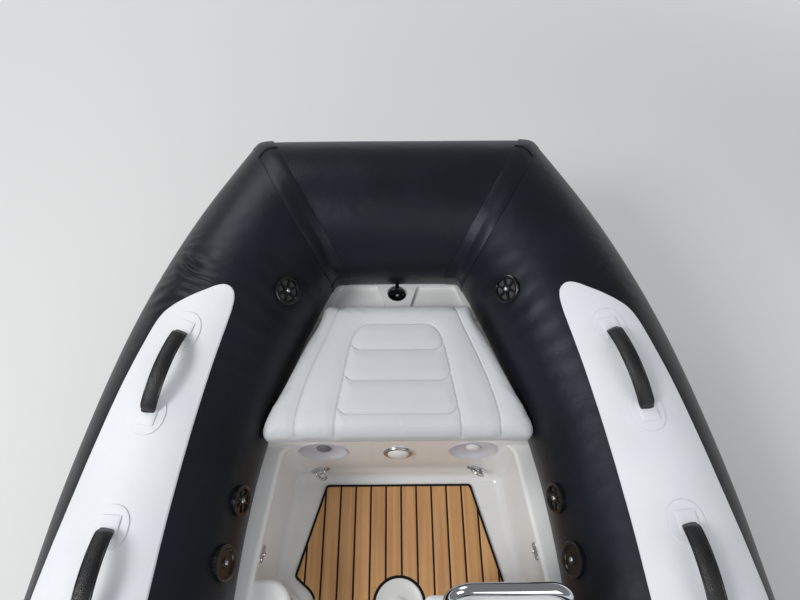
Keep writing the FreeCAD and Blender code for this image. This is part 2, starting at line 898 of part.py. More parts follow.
def make_throttle():
    """The remote control on the console's inboard side: box, lever and grip."""
    centre = V(390, console_inner_y + seat_gap, 628)
    plate = box((centre.x - 48, centre.x + 48), (centre.y, centre.y + 14), (centre.z - 36, centre.z + 36))
    corners = edges_where(plate, lambda point: True)
    plate = plate.makeFillet(10, [edge for edge in corners if abs(edge.tangentAt(edge.FirstParameter).y) > 0.9])
    hub = Part.makeCylinder(22, 26, centre, AXIS_Y)
    top = centre + V(-38, 24, 118)
    lever = Part.makeCylinder(7, (top - centre - AXIS_Y * 20).Length, centre + AXIS_Y * 20, top - centre - AXIS_Y * 20)
    grip = Part.makeCylinder(12, 66, top - AXIS_Y * 8, AXIS_Y)
    return fused([plate, hub, lever, grip])


def bent_tube(points, radius, bend):
    """A round tube through points, its corners bent to a radius and its ends square."""
    starts = [points[0]]
    pieces = []
    for before, corner, after in zip(points[:-2], points[1:-1], points[2:]):
        back = (before - corner).normalize()
        ahead = (after - corner).normalize()
        half_angle = back.getAngle(ahead) / 2
        reach = bend / math.tan(half_angle)
        centre = corner + (back + ahead).normalize() * (bend / math.sin(half_angle))
        first = corner + back * reach
        axis = (first - centre).cross(back * -1).normalize()
        circle = Part.Face(Part.Wire([Part.Circle(first, back, radius).toShape()]))
        pieces.append(circle.revolve(centre, axis, 180 - math.degrees(2 * half_angle)))
        starts += [first, corner + ahead * reach]
    starts.append(points[-1])
    for first, last in zip(starts[::2], starts[1::2]):
        pieces.append(Part.makeCylinder(radius, (last - first).Length, first, last - first))
    return fused(pieces)


def make_rail():
    """The bent steel grab rail over the front of the console."""
    foot = console_front_top - 30
    points = [
        V(rail_foot_x, rail_inner_y, foot),
        V(rail_x, rail_inner_y, rail_height),
        V(rail_x, rail_outer_y, rail_height),
        V(rail_foot_x, rail_outer_y, foot),
    ]
    return largest(bent_tube(points, rail_radius, rail_bend).cut(make_console()))


def wheel_frame():
    """Centre and axis of the steering wheel; the axis points at the helmsman."""
    foot, up, out = dash_frame()
    return foot + up * wheel_up_dash + out * wheel_gap, out


def make_wheel():
    """Rim, spokes and hub of the steering wheel, with its shaft."""
    centre, axis = wheel_frame()
    rim = Part.makeTorus(wheel_radius - wheel_rim_radius, wheel_rim_radius, centre, axis)
    hub = Part.makeCylinder(wheel_hub_radius, 30, centre - axis * 22, axis)
    cap = Part.makeCone(wheel_hub_radius, wheel_hub_radius - 8, 8, centre + axis * 8, axis)
    shaft = Part.makeCylinder(wheel_shaft_radius, wheel_gap + 30, centre - axis * (wheel_gap + 30), axis)
    spokes = []
    for angle in (90, 210, 330):
        out = turned(AXIS_Y, axis, angle)
        spokes.append(Part.makeCylinder(9, wheel_radius - wheel_rim_radius, centre, out))
    return fused([rim, hub, cap, shaft] + spokes)


def make_seat():
    """Helm seat: moulded base, cushion and back, their edges rounded."""
    base = prism(oblong_rows(seat_front_x, seat_back_x, seat_half, 40), sole_height, seat_base_top)
    soft_half = seat_half - 8
    low = seat_base_top + seat_gap
    cushion = box(
        (seat_back_x + back_thickness + 2, seat_front_x + 10),
        (-soft_half, soft_half),
        (low, seat_base_top + seat_cushion_height),
    )
    back = box(
        (seat_back_x, seat_back_x + back_thickness),
        (-soft_half, soft_half),
        (low, seat_base_top + back_height),
    )
    return base, cushion.makeFillet(24, cushion.Edges), back.makeFillet(24, back.Edges)


def parked(shape):
    """A motor piece, turned up from upright to its parked tilt."""
    copy = shape.copy()
    copy.rotate(V(pivot_x, 0, pivot_z), AXIS_Y, tilt_angle)
    return copy


def make_clamp():
    """The clamp bracket hung over the transom: two cheeks, their screws and the tilt tube."""
    inner_x = transom_x + transom_thickness
    rows = (
        # x, z, corner radius
        (inner_x + 14, transom_cutout_top - 150, 8),
        (inner_x + 14, transom_cutout_top + 13, 14),
        (transom_x + 10, transom_cutout_top + 14, 30),
        (pivot_x + 26, pivot_z + 26, 14),
        (pivot_x - 26, pivot_z + 26, 20),
        (pivot_x - 26, pivot_z - 20, 30),
        (transom_x - 30, transom_cutout_top - 230, 14),
        (transom_x, transom_cutout_top - 230, 0),
        (transom_x, transom_cutout_top, 0),
        (inner_x, transom_cutout_top, 0),
        (inner_x, transom_cutout_top - 150, 0),
    )
    pieces = [Part.makeCylinder(tilt_tube_radius, 2 * clamp_half, V(pivot_x, -clamp_half, pivot_z), AXIS_Y)]
    for side in (1, -1):
        y = side * (clamp_half - clamp_plate / 2)
        screw_z = transom_cutout_top - 85
        pieces.append(side_prism(rows, y - clamp_plate / 2, y + clamp_plate / 2))
        pieces.append(Part.makeCylinder(8, 60, V(inner_x + 2, y, screw_z), AXIS_X))
        pieces.append(Part.makeCylinder(19, 5, V(inner_x + 0.5, y, screw_z), AXIS_X))
        pieces.append(Part.makeCylinder(5, 76, V(inner_x + 56, y - 38, screw_z), AXIS_Y))
    return fused(pieces)


def make_swivel():
    """The swivel bracket: it turns on the tilt tube and holds the steering shaft."""
    half = clamp_half - clamp_plate - 5
    eye = Part.makeCylinder(tilt_tube_radius + swivel_wall, 2 * half, V(pivot_x, -half, pivot_z), AXIS_Y)
    post_radius = steer_shaft_radius + swivel_wall
    post = Part.makeCylinder(post_radius, swivel_top - swivel_bottom, V(steer_x, 0, swivel_bottom))
    web_rows = (
        # x, z, corner radius
        (pivot_x, pivot_z + 18, 0),
        (steer_x, pivot_z + 30, 0),
        (steer_x, swivel_bottom + 30, 0),
        (steer_x + 44, swivel_bottom + 34, 12),
        (pivot_x, pivot_z - 70, 20),
    )
    body = fused([eye, post, side_prism(web_rows, -20, 20)])
    bore = Part.makeCylinder(tilt_tube_radius + shaft_gap, 4 * half, V(pivot_x, -2 * half, pivot_z), AXIS_Y)
    shaft = Part.makeCylinder(steer_shaft_radius + shaft_gap, 900, V(steer_x, 0, 0))
    return body.cut([bore, shaft])


def oblong_loft(rows):
    """A solid through rounded rectangles: rows of height, front x, back x, half width and corner."""
    wires = []
    for height, front, back, half, corner in rows:
        wires.append(plan_wire(oblong_rows(front, back, half, corner), height))
    return Part.makeLoft(wires, True, True)


def make_midsection():
    """The motor's leg, the pan under its hood, and the steering shaft with its lower yoke."""
    rows = [(z, steer_x - front, steer_x - back, half, half * 0.9) for z, front, back, half in leg_rows]
    leg = oblong_loft(rows)
    pan_low = swivel_top + turning_gap
    pan = oblong_loft((
        (pan_low, steer_x + 30, steer_x - 232, 62, 40),
        (pan_low + 20, steer_x + 62, steer_x - 258, 104, 55),
        (cowl_bottom - seat_gap, steer_x + 71, steer_x - 263, 116, 60),
    ))
    shaft_low = swivel_bottom - 25
    shaft = Part.makeCylinder(steer_shaft_radius, pan_low + 10 - shaft_low, V(steer_x, 0, shaft_low))
    yoke_low = swivel_bottom - 45
    yoke = oblong_loft((
        (yoke_low, steer_x + 30, steer_x - 90, 34, 26),
        (swivel_bottom - turning_gap, steer_x + 34, steer_x - 90, 40, 30),
    ))
    return fused([leg, pan, shaft, yoke])


def make_gearcase():
    """Anti-cavitation plate, strut, torpedo, skeg and the propeller's shaft."""
    plate_rows = (
        # x, y, corner radius
        (steer_x - 30, plate_half * 0.5, 30),
        (steer_x - 90, plate_half, 40),
        (steer_x - 330, plate_half, 50),
    )
    plate = prism(whole_plan(plate_rows), plate_top - 9, plate_top - seat_gap)
    strut = oblong_loft((
        (plate_top - 2, steer_x - 60, steer_x - 262, 18, 16),
        (prop_centre_z, steer_x - 70, steer_x - 228, 15, 13),
    ))
    skeg = oblong_loft((
        (prop_centre_z, steer_x - 78, steer_x - 226, 8, 7),
        (-290, steer_x - 165, steer_x - 224, 3, 2.6),
    ))
    radius = gearcase_radius
    front = V(gearcase_front, 0, prop_centre_z)
    nose = front + V(-70, 0, radius)
    tail = front + V(40 - gearcase_length, 0, radius)
    end = front + V(-gearcase_length, 0, radius - 7)
    profile = Part.Wire([
        Part.Arc(front, front + V(-24, 0, radius * 0.72), nose).toShape(),
        Part.LineSegment(nose, tail).toShape(),
        Part.LineSegment(tail, end).toShape(),
        Part.LineSegment(end, front + V(-gearcase_length, 0, 0)).toShape(),
        Part.LineSegment(front + V(-gearcase_length, 0, 0), front).toShape(),
    ])
    torpedo = Part.Face(profile).revolve(front, AXIS_X, 360)
    shaft = Part.makeCylinder(prop_shaft_radius, prop_hub_length + 30, front - AXIS_X * gearcase_length, AXIS_X * -1)
    return fused([plate, strut, skeg, torpedo, shaft])


def blade_section(centre, radius, chord, thickness):
    """Six points round a blade's lens section, pitched for its radius, as a closed wire."""
    pitch = math.atan(prop_pitch / (2 * math.pi * radius))
    along = V(math.sin(pitch), math.cos(pitch), 0)
    across = V(math.cos(pitch), -math.sin(pitch), 0)
    lens = ((-0.5, 0), (-0.22, 0.5), (0.22, 0.5), (0.5, 0), (0.22, -0.5), (-0.22, -0.5))
    middle = centre + AXIS_Z * radius
    points = [middle + along * (chord * u) + across * (thickness * v) for u, v in lens]
    return Part.makePolygon(points + points[:1])


def make_propeller():
    """Hub and three twisted blades."""
    front = V(gearcase_front - gearcase_length - turning_gap, 0, prop_centre_z)
    back = AXIS_X * -1
    hub = fused([
        Part.makeCylinder(prop_hub_radius, prop_hub_length * 0.7, front, back),
        Part.makeCone(prop_hub_radius, prop_hub_radius - 8, prop_hub_length * 0.3, front + back * (prop_hub_length * 0.7), back),
    ])
    middle = front + back * 46
    blade = Part.makeLoft([blade_section(middle, *row) for row in blade_rows], True, True)
    blades = []
    for angle in (0, 120, 240):
        copy = blade.copy()
        copy.rotate(front, AXIS_X, angle)
        blades.append(copy)
    bore = Part.makeCylinder(prop_shaft_radius + shaft_gap, 400, front + V(10, 0, 0), back)
    return fused([hub] + blades).cut(bore)


def make_cowl():
    """The motor's hood, lofted through rounded plans."""
    rows = []
    for height, front_inset, back_inset, side_inset, corner in cowl_rows:
        rows.append((height, cowl_front_x - front_inset, cowl_back_x + back_inset, cowl_half - side_inset, corner))
    return oblong_loft(rows)


def make_handles():
    """Arched padded grips over the crown of the port tube, and the patches they are glued to."""
    grips = []
    patches = []
    lift = patch_thickness + skin + seat_gap
    for start_x in handle_starts:
        spots = [tube_spot(x, 90, 0) for x in (start_x, start_x + handle_length)]
        for place, out, heading in spots:
            disc = Part.makeCylinder(patch_radius, tube_radius * 0.25, place - out * tube_radius * 0.2, out)
            outer = side_tube(tube_radius + patch_thickness + skin, 0)
            patches.append(disc.common(outer).cut(side_tube(tube_radius + skin, 0)))
        (a, out_a, heading_a), (b, out_b, heading_b) = spots
        up = (out_a + out_b).normalize()
        low = [a + out_a * lift, (a + b) * 0.5 + up * (handle_rise + lift), b + out_b * lift]
        high = [point + up * handle_thickness for point in low]
        edges = [
            Part.Arc(*low).toShape(),
            Part.LineSegment(low[2], high[2]).toShape(),
            Part.Arc(high[2], high[1], high[0]).toShape(),
            Part.LineSegment(high[0], low[0]).toShape(),
        ]
        across = up.cross(b - a).normalize()
        grip = Part.Face(Part.Wire(edges)).extrude(across * handle_width)
        grips.append(grip.translated(across * (-handle_width / 2)))
    return grips, patches


def valve_body(place, out, radius, sunk):
    """A round inflation valve with a bevelled face, standing on a boot."""
    body = Part.makeCylinder(radius, sunk + valve_height - 2, place - out * sunk, out)
    bevel = Part.makeCone(radius, radius - 4, 2, place + out * (valve_height - 2), out)
    dish = Part.makeCone(radius - 12, radius - 8, 4, place + out * (valve_height - 3), out)
    hub = Part.makeCylinder(7, 5, place + out * (valve_height - 4), out)
    return fused([fused([body, bevel]).cut(dish), hub])


def bow_valve_seat():
    """Top of the bow valve's boot and the way it faces: aft and up, in the step's keyhole."""
    a = math.radians(bow_valve_rise)
    return V(bow_valve_x, 0, bow_valve_z), V(-math.cos(a), 0, math.sin(a))


def make_valves():
    """The inflation valves on the tubes' inner sides and on the bow tube."""
    every = []
    cutter = side_tube(tube_radius + seat_gap, 0)
    for x, angle, radius in valve_seats:
        place, out, heading = tube_spot(x, angle, 0)
        every.append(both_sides(valve_body(place, out, radius, 12).cut(cutter)))
    body = valve_body(*bow_valve_seat(), bow_valve_radius, bow_valve_boot + 8)
    every.append(body.cut(bow_tube(tube_radius + seat_gap)))
    return Part.makeCompound(every)


def make_face_fittings():
    """Dished fittings, the latch knob and the folding eyes on the locker's face."""
    dishes = []
    eyes = []
    forward = locker_face_x + dish_depth - seat_gap
    aft = AXIS_X * -1
    for side in (1, -1):
        centre = V(forward, side * dish_y, dish_z)
        disc = Part.makeCylinder(dish_radius - seat_gap, dish_depth + 2, centre, aft)
        hollow = Part.makeCone(dish_radius - 20, dish_radius - 6, dish_depth, centre + aft * 3, aft)
        hub = Part.makeCylinder(dish_hub_radius, 10, centre + aft * 2, aft)
        dishes.append(fused([disc.cut(hollow), hub]))
        centre = V(locker_face_x - seat_gap, side * face_eye_y, face_eye_z)
        lean = V(0, side * math.sqrt(0.5), -math.sqrt(0.5))
        plate = fused([Part.makeCylinder(11, 3, centre + lean * shift, aft) for shift in (-19, 0, 19)])
        ring = Part.makeTorus(13, 3, centre + aft * 5, AXIS_X)
        eyes.append(fused([plate, ring]))
    middle = V(locker_face_x - seat_gap, 0, latch_z)
    ring = Part.makeCylinder(latch_radius, 5, middle, aft)
    dome = Part.makeSphere(46, middle + AXIS_X * 32).common(Part.makeCylinder(latch_radius - 7, 20, middle, aft))
    return Part.makeCompound(dishes), fused([ring, dome]), Part.makeCompound(eyes)


def make_towing_eyes():
    """The bow eye under the stem and the two eyes on the transom, each with a round hole."""
    half = eye_thickness / 2
    keel = hull_section(bow_eye_x)[0][1]
    centre = V(bow_eye_x, -half, keel - bow_eye_drop)
    bow = Part.makeCylinder(eye_radius, eye_thickness, centre, AXIS_Y)
    base = side_prism(
        (
            # x, z, corner radius
            (bow_eye_x - 46, keel - 46, 6),
            (bow_eye_x + 30, keel - 2, 6),
            (bow_eye_x + 30, keel + 60, 0),
            (bow_eye_x - 46, keel + 60, 0),
        ),
        -half,
        half,
    )
    hole = Part.makeCylinder(eye_bore, 60, centre - AXIS_Y * 20, AXIS_Y)
    hull = make_hull()
    bow = largest(fused([bow, base]).cut(hull)).cut(hole)
    stern = []
    for side in (1, -1):
        place = V(transom_x - eye_radius, side * stern_eye_y - half, stern_eye_z)
        lug = Part.makeCylinder(eye_radius, eye_thickness, place, AXIS_Y)
        neck = box(
            (transom_x - eye_radius, transom_x - seat_gap),
            (place.y, place.y + eye_thickness),
            (stern_eye_z - eye_radius, stern_eye_z + eye_radius),
        )
        pad = box(
            (transom_x - 6, transom_x - seat_gap),
            (side * stern_eye_y - 26, side * stern_eye_y + 26),
            (stern_eye_z - 34, stern_eye_z + 34),
        )
        bore = Part.makeCylinder(eye_bore, 60, place - AXIS_Y * 20, AXIS_Y)
        stern.append(fused([lug, neck, pad]).cut(bore))
    return bow, Part.makeCompound(stern)


def main():
    """Build and save every node."""
    port, bow = make_collar()
    save("collar_port", port)
    save("collar_starboard", mirrored(port))
    save("collar_bow", bow)
    save("stern_cones", both_sides(make_stern_cone()))
    panel = make_wear_panel()
    save("wear_panel_port", panel)
    save("wear_panel_starboard", mirrored(panel))
    save("seam_tapes", make_seam_tapes())
    strake, bow_strake = make_rub_strake()
    save("rub_strake_port", strake)
    save("rub_strake_starboard", mirrored(strake))
    save("rub_strake_bow", bow_strake)
    grips, patches = make_handles()
    save("handle_grips", Part.makeCompound([both_sides(grip) for grip in grips]))
    save("handle_patches", Part.makeCompound([both_sides(patch) for patch in patches]))
    save("valves", make_valves())
    save("hull", make_hull())
    save("deck_liner", make_liner())
    save("transom", make_transom())
    save("bow_locker", make_locker())
    save("bow_step", make_bow_step())
    save("locker_lid", make_lid())
    save("lid_hinges", make_lid_hinges())
    save("bow_cushion", make_cushion())
    save("teak_pad", make_teak())
    save("deck_well", make_well())
    save("side_locker", make_side_locker())
    dishes, latch, eyes = make_face_fittings()
    save("locker_dishes", dishes)
    save("locker_latch", latch)
    save("pad_eyes", eyes)
    bow_eye, stern_eyes = make_towing_eyes()
    save("bow_eye", bow_eye)
    save("stern_eyes", stern_eyes)
    save("console", make_console())
    save("dash_panel", make_dash_panel())
    save("throttle", make_throttle())
    save("grab_rail", make_rail())
    save("steering_wheel", make_wheel())
    base, cushion, back = make_seat()
    save("seat_base", base)
    save("seat_cushion", cushion)
    save("seat_back", back)
    save("clamp_bracket", make_clamp())
    save("swivel_bracket", parked(make_swivel()))
    save("midsection", parked(make_midsection()))
    save("gearcase", parked(make_gearcase()))
    save("cowl", parked(make_cowl()))
    save("propeller", parked(make_propeller()))


main()
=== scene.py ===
"""Looks of the inflatable rigid-bottom tender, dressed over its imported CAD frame, in metres.

+X points to the bow, +Y to port and +Z up. Soft pieces and fine surfaces are worked out with numpy
as functions on grids; rigid mouldings keep their CAD meshes and get procedural materials.
"""
import logging
import math
from collections.abc import Callable, Sequence
from dataclasses import dataclass
from enum import Enum

import bmesh
import bpy
import numpy as np
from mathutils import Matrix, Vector


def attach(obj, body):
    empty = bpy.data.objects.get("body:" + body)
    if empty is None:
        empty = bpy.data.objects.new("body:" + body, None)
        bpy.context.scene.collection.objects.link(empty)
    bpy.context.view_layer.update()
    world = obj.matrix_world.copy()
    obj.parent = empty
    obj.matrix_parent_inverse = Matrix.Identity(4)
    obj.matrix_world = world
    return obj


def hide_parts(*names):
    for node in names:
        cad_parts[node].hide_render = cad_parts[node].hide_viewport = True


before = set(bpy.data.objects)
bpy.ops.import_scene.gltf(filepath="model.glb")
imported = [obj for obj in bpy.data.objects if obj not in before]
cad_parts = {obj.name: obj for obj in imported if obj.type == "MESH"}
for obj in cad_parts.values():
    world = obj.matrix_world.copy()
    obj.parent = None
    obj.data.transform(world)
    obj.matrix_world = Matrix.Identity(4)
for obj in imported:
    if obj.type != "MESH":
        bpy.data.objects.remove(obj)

logging.basicConfig(level=logging.INFO, format="%(message)s")
log = logging.getLogger("tender")

Array = np.ndarray
Colour = tuple[float, float, float]
Mesh = bpy.types.Mesh
Material = bpy.types.Material
NodeTree = bpy.types.NodeTree
Socket = bpy.types.NodeSocket

AFT = np.array([-1.0, 0.0, 0.0])
PORTWARD = np.array([0.0, 1.0, 0.0])
UP = np.array([0.0, 0.0, 1.0])
DAYLIGHT = (0.93, 0.96, 1.0, 1.0)
PLANK_PITCH = 0.0441
PLANK_PHASE = -0.0075


class Side(Enum):
    """Which side of the boat a piece stands on, by the sign of its Y."""

    PORT = 1
    STARBOARD = -1


class Body(Enum):
    """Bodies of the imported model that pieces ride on."""

    BOAT = "boat"
    LID = "locker_lid"
    WHEEL = "steering_wheel"
    TILT = "motor_tilt"
    MOTOR = "motor"
    PROPELLER = "propeller"


class Grain(Enum):
    """Fine relief of a finish."""

    NONE = "none"
    PEBBLE = "pebble"
    WEAVE = "weave"


# Node graph helpers


class Graph:
    """Adds nodes to one node tree by short calls."""

    def __init__(self, tree: NodeTree) -> None:
        """Keeps the tree that every call adds to."""
        self.tree = tree

    def add(self, kind: str, settings: dict | None = None, **inputs: object) -> bpy.types.Node:
        """Adds one node.

        Args:
            kind: The node's type without its prefix, such as Math.
            settings: Properties of the node itself.
            inputs: Input values or sockets by name, with _ for a space.

        Returns:
            The new node.
        """
        node = self.tree.nodes.new("ShaderNode" + kind)
        for name, value in (settings or {}).items():
            setattr(node, name, value)
        for name, value in inputs.items():
            self.feed(node.inputs[name.replace("_", " ")], value)
        return node

    def feed(self, socket: Socket, value: object) -> None:
        """Links a socket to value where it is a socket, and sets it otherwise.

        Args:
            socket: An input.
            value: A socket or a plain value.
        """
        if isinstance(value, Socket):
            self.tree.links.new(value, socket)
        else:
            socket.default_value = value

    def math(self, operation: str, first: object, second: object = 0.0, clamp: bool = False) -> Socket:
        """Result socket of a Math node on one or two values.

        Args:
            operation: Its name.
            first: Socket or number.
            second: The same.
            clamp: Keep it in 0..1.

        Returns:
            The result.
        """
        node = self.add("Math", {"operation": operation, "use_clamp": clamp})
        self.feed(node.inputs[0], first)
        self.feed(node.inputs[1], second)
        return node.outputs[0]

    def mix(self, factor: object, first: object, second: object) -> Socket:
        """Result socket of a colour mix.

        Args:
            factor: Share of the second.
            first: Colour or socket.
            second: The same.

        Returns:
            The mixed colour.
        """
        node = self.add("Mix", {"data_type": "RGBA"})
        for socket, value in ((node.inputs[0], factor), (node.inputs[6], first), (node.inputs[7], second)):
            if isinstance(value, tuple) and len(value) == 3:
                value = (*value, 1.0)
            self.feed(socket, value)
        return node.outputs[2]

    def ramp(self, value: object, low: float, high: float) -> Socket:
        """A value mapped smoothly from low..high to 0..1.

        Args:
            value: A socket.
            low: Where it leaves 0.
            high: Where it reaches 1.

        Returns:
            The mapped value.
        """
        node = self.add("MapRange", {"interpolation_type": "SMOOTHSTEP"})
        self.feed(node.inputs["Value"], value)
        node.inputs["From Min"].default_value = low
        node.inputs["From Max"].default_value = high
        return node.outputs["Result"]

    def place(self) -> Socket:
        """Object coordinates, in metres."""
        return self.add("TexCoord").outputs["Object"]

    def stretched(self, scale: Sequence[float]) -> Socket:
        """Object coordinates scaled by a factor along each axis."""
        node = self.add("Mapping", Vector=self.place())
        node.inputs["Scale"].default_value = tuple(scale)
        return node.outputs["Vector"]

    def noise(self, scale: object, detail: float, vector: Socket | None = None, bend: float = 0.0) -> Socket:
        """Cloudy noise from 0 to 1.

        Args:
            scale: Its fineness.
            detail: Its octaves.
            vector: Where it is read, by default the place on the boat.
            bend: How much it is distorted.

        Returns:
            The noise.
        """
        vector = self.place() if vector is None else vector
        node = self.add("TexNoise", Vector=vector, Scale=scale, Detail=detail, Distortion=bend)
        return node.outputs["Fac"]

    def bump(self, height: Socket, depth: float, under: Socket | None = None) -> Socket:
        """Normal of a relief of some depth, over another normal where one is given.

        Args:
            height: The relief.
            depth: Its depth.
            under: A normal below it.

        Returns:
            The normal.
        """
        node = self.add("Bump", Height=height, Distance=depth)
        if under is not None:
            self.feed(node.inputs["Normal"], under)
        return node.outputs["Normal"]

    def effect(self, tree: NodeTree, value: float) -> Socket:
        """Output of a shared shader group placed here with a value for its first input."""
        node = self.add("Group", {"node_tree": tree})
        node.inputs[0].default_value = value
        return node.outputs[0]


def new_group(name: str, inputs: dict[str, float], outputs: Sequence[str]) -> tuple[Graph, dict, dict]:
    """Starts a shader node group of float inputs and float outputs.

    Args:
        name: The group's name.
        inputs: Default value of each input.
        outputs: Names of the outputs.

    Returns:
        The group's graph, its input sockets and its output sockets, by name.
    """
    tree = bpy.data.node_groups.new(name, "ShaderNodeTree")
    for label, value in inputs.items():
        socket = tree.interface.new_socket(label, in_out="INPUT", socket_type="NodeSocketFloat")
        socket.default_value = value
    for label in outputs:
        tree.interface.new_socket(label, in_out="OUTPUT", socket_type="NodeSocketFloat")
    start = tree.nodes.new("NodeGroupInput")
    end = tree.nodes.new("NodeGroupOutput")
    return Graph(tree), {s.name: s for s in start.outputs}, {s.name: s for s in end.inputs}


class Effects:
    """Shader groups that several finishes share, each built once."""

    def __init__(self) -> None:
        """Builds every group."""
        self.dust = self.build_dust()
        self.pebble = self.build_pebble()
        self.weave = self.build_weave()
        self.wear = self.build_wear()
        self.ripple = self.build_ripple()

    def build_dust(self) -> NodeTree:
        """Dust that settles on faces turned up, in soft patches: cloudy noise times the upward normal.

        Returns:
            A group that puts out a mask.
        """
        graph, given, result = new_group("settled_dust", {"Amount": 0.3, "Scale": 9.0}, ["Mask"])
        cloud = graph.ramp(graph.noise(given["Scale"], 5.0), 0.38, 0.72)
        up = graph.add("SeparateXYZ", Vector=graph.add("NewGeometry").outputs["Normal"])
        facing = graph.ramp(up.outputs["Z"], 0.1, 0.95)
        mask = graph.math("MULTIPLY", graph.math("MULTIPLY", cloud, facing), given["Amount"])
        graph.feed(result["Mask"], mask)
        return graph.tree

    def build_pebble(self) -> NodeTree:
        """Pebbled grain: smooth cells with finer creases between them.

        Returns:
            A group that puts out a height.
        """
        graph, given, result = new_group("pebble_grain", {"Scale": 500.0}, ["Height"])
        place = graph.place()
        cells = graph.add("TexVoronoi", {"feature": "SMOOTH_F1"}, Vector=place, Scale=given["Scale"])
        cells.inputs["Smoothness"].default_value = 0.35
        height = graph.math("SUBTRACT", 1.0, cells.outputs["Distance"])
        fine = graph.math("MULTIPLY", graph.noise(given["Scale"], 2.0), 0.25)
        graph.feed(result["Height"], graph.math("ADD", height, fine))
        return graph.tree

    def build_weave(self) -> NodeTree:
        """Faint cloth under a coating: the product of two sine waves, roughened by noise.

        Returns:
            A group that puts out a height.
        """
        graph, given, result = new_group("coated_weave", {"Threads": 5200.0}, ["Height"])
        apart = graph.add("SeparateXYZ", Vector=graph.place())
        waves = []
        for axis in ("X", "Y", "Z"):
            waves.append(graph.math("SINE", graph.math("MULTIPLY", apart.outputs[axis], given["Threads"])))
        total = graph.math("ADD", graph.math("MULTIPLY", waves[0], waves[1]), waves[2])
        height = graph.math("ADD", graph.math("MULTIPLY", total, 0.2), graph.noise(900.0, 2.0))
        graph.feed(result["Height"], height)
        return graph.tree

    def build_wear(self) -> NodeTree:
        """Fine scuffs: two noises drawn out along the boat and across it, kept where both are high.

        Returns:
            A group that puts out a mask.
        """
        graph, given, result = new_group("scuffs", {"Amount": 0.5}, ["Mask"])
        masks = []
        for scale in ((14.0, 160.0, 60.0), (150.0, 18.0, 70.0)):
            masks.append(graph.ramp(graph.noise(1.0, 6.0, graph.stretched(scale)), 0.62, 0.74))
        graph.feed(result["Mask"], graph.math("MULTIPLY", graph.math("MAXIMUM", *masks), given["Amount"]))
        return graph.tree

    def build_ripple(self) -> NodeTree:
        """Broad unevenness of a hand-laid or blown-up surface, as a height.

        Returns:
            A group that puts out a height.
        """
        graph, given, result = new_group("ripple", {"Scale": 6.0}, ["Height"])
        graph.feed(result["Height"], graph.noise(given["Scale"], 3.0))
        return graph.tree


# Finishes


def new_material(name: str) -> tuple[Material, Graph, bpy.types.Node]:
    """A material, the graph of its nodes and its Principled shader."""
    material = bpy.data.materials.new(name)
    material.use_nodes = True
    return material, Graph(material.node_tree), material.node_tree.nodes["Principled BSDF"]


@dataclass(frozen=True)
class Finish:
    """A surface finish: a Principled shader with colour variation, dust, scuffs and relief."""

    name: str
    slot: str
    colour: Colour
    roughness: float
    tint: Colour | None = None
    tint_scale: float = 3.0
    metallic: float = 0.0
    specular: float = 0.5
    gloss_colour: Colour = (1.0, 1.0, 1.0)
    coat: float = 0.0
    sheen: float = 0.0
    dust: float = 0.0
    dust_colour: Colour = (0.42, 0.40, 0.37)
    scuffs: float = 0.0
    grain: Grain = Grain.NONE
    grain_scale: float = 500.0
    grain_depth: float = 0.0002
    ripple_scale: float = 0.0
    ripple_depth: float = 0.0

    def build(self, effects: Effects) -> Material:
        """Makes the material.

        Args:
            effects: The shared shader groups.

        Returns:
            The finished material.
        """
        material, graph, shader = new_material(self.name)
        colour, roughness = self.paint(graph, effects)
        values = {
            "Base Color": colour,
            "Roughness": roughness,
            "Metallic": self.metallic,
            "Specular IOR Level": self.specular,
            "Specular Tint": (*self.gloss_colour, 1.0),
            "Coat Weight": self.coat,
            "Coat Roughness": 0.08,
            "Sheen Weight": self.sheen,
            "Sheen Roughness": 0.4,
        }
        for label, value in values.items():
            graph.feed(shader.inputs[label], value)
        normal = self.relief(graph, effects)
        if normal is not None:
            graph.feed(shader.inputs["Normal"], normal)
        return material

    def paint(self, graph: Graph, effects: Effects) -> tuple[Socket, Socket]:
        """Colour and roughness: two tones in soft patches, then scuffs, then dust over them.

        Args:
            graph: The material's graph.
            effects: The shared groups.

        Returns:
            Sockets of the colour and the roughness.
        """
        noise = graph.noise(self.tint_scale, 4.0)
        patches = graph.ramp(noise, 0.3, 0.7)
        tint = self.tint or tuple(c * 0.93 for c in self.colour)
        colour = graph.mix(patches, self.colour, tint)
        spread = graph.math("MULTIPLY", noise, 0.12)
        roughness = graph.math("ADD", spread, self.roughness - 0.06, clamp=True)
        if self.scuffs:
            mask = graph.effect(effects.wear, self.scuffs)
            lighter = tuple(min(1.0, c * 0.8 + 0.06) for c in self.colour)
            colour = graph.mix(mask, colour, lighter)
            roughness = graph.math("ADD", roughness, graph.math("MULTIPLY", mask, 0.15), clamp=True)
        if self.dust:
            mask = graph.effect(effects.dust, self.dust)
            colour = graph.mix(mask, colour, self.dust_colour)
            roughness = graph.math("ADD", roughness, graph.math("MULTIPLY", mask, 0.4), clamp=True)
        return colour, roughness

    def relief(self, graph: Graph, effects: Effects) -> Socket | None:
        """Normal from the fine grain over the broad ripple, or None where the finish has neither.

        Args:
            graph: The material's graph.
            effects: The shared groups.

        Returns:
            The normal's socket.
        """
        normal = None
        if self.ripple_depth:
            normal = graph.bump(graph.effect(effects.ripple, self.ripple_scale), self.ripple_depth)
        if self.grain is not Grain.NONE:
            tree = effects.pebble if self.grain is Grain.PEBBLE else effects.weave
            normal = graph.bump(graph.effect(tree, self.grain_scale), self.grain_depth, normal)
        return normal


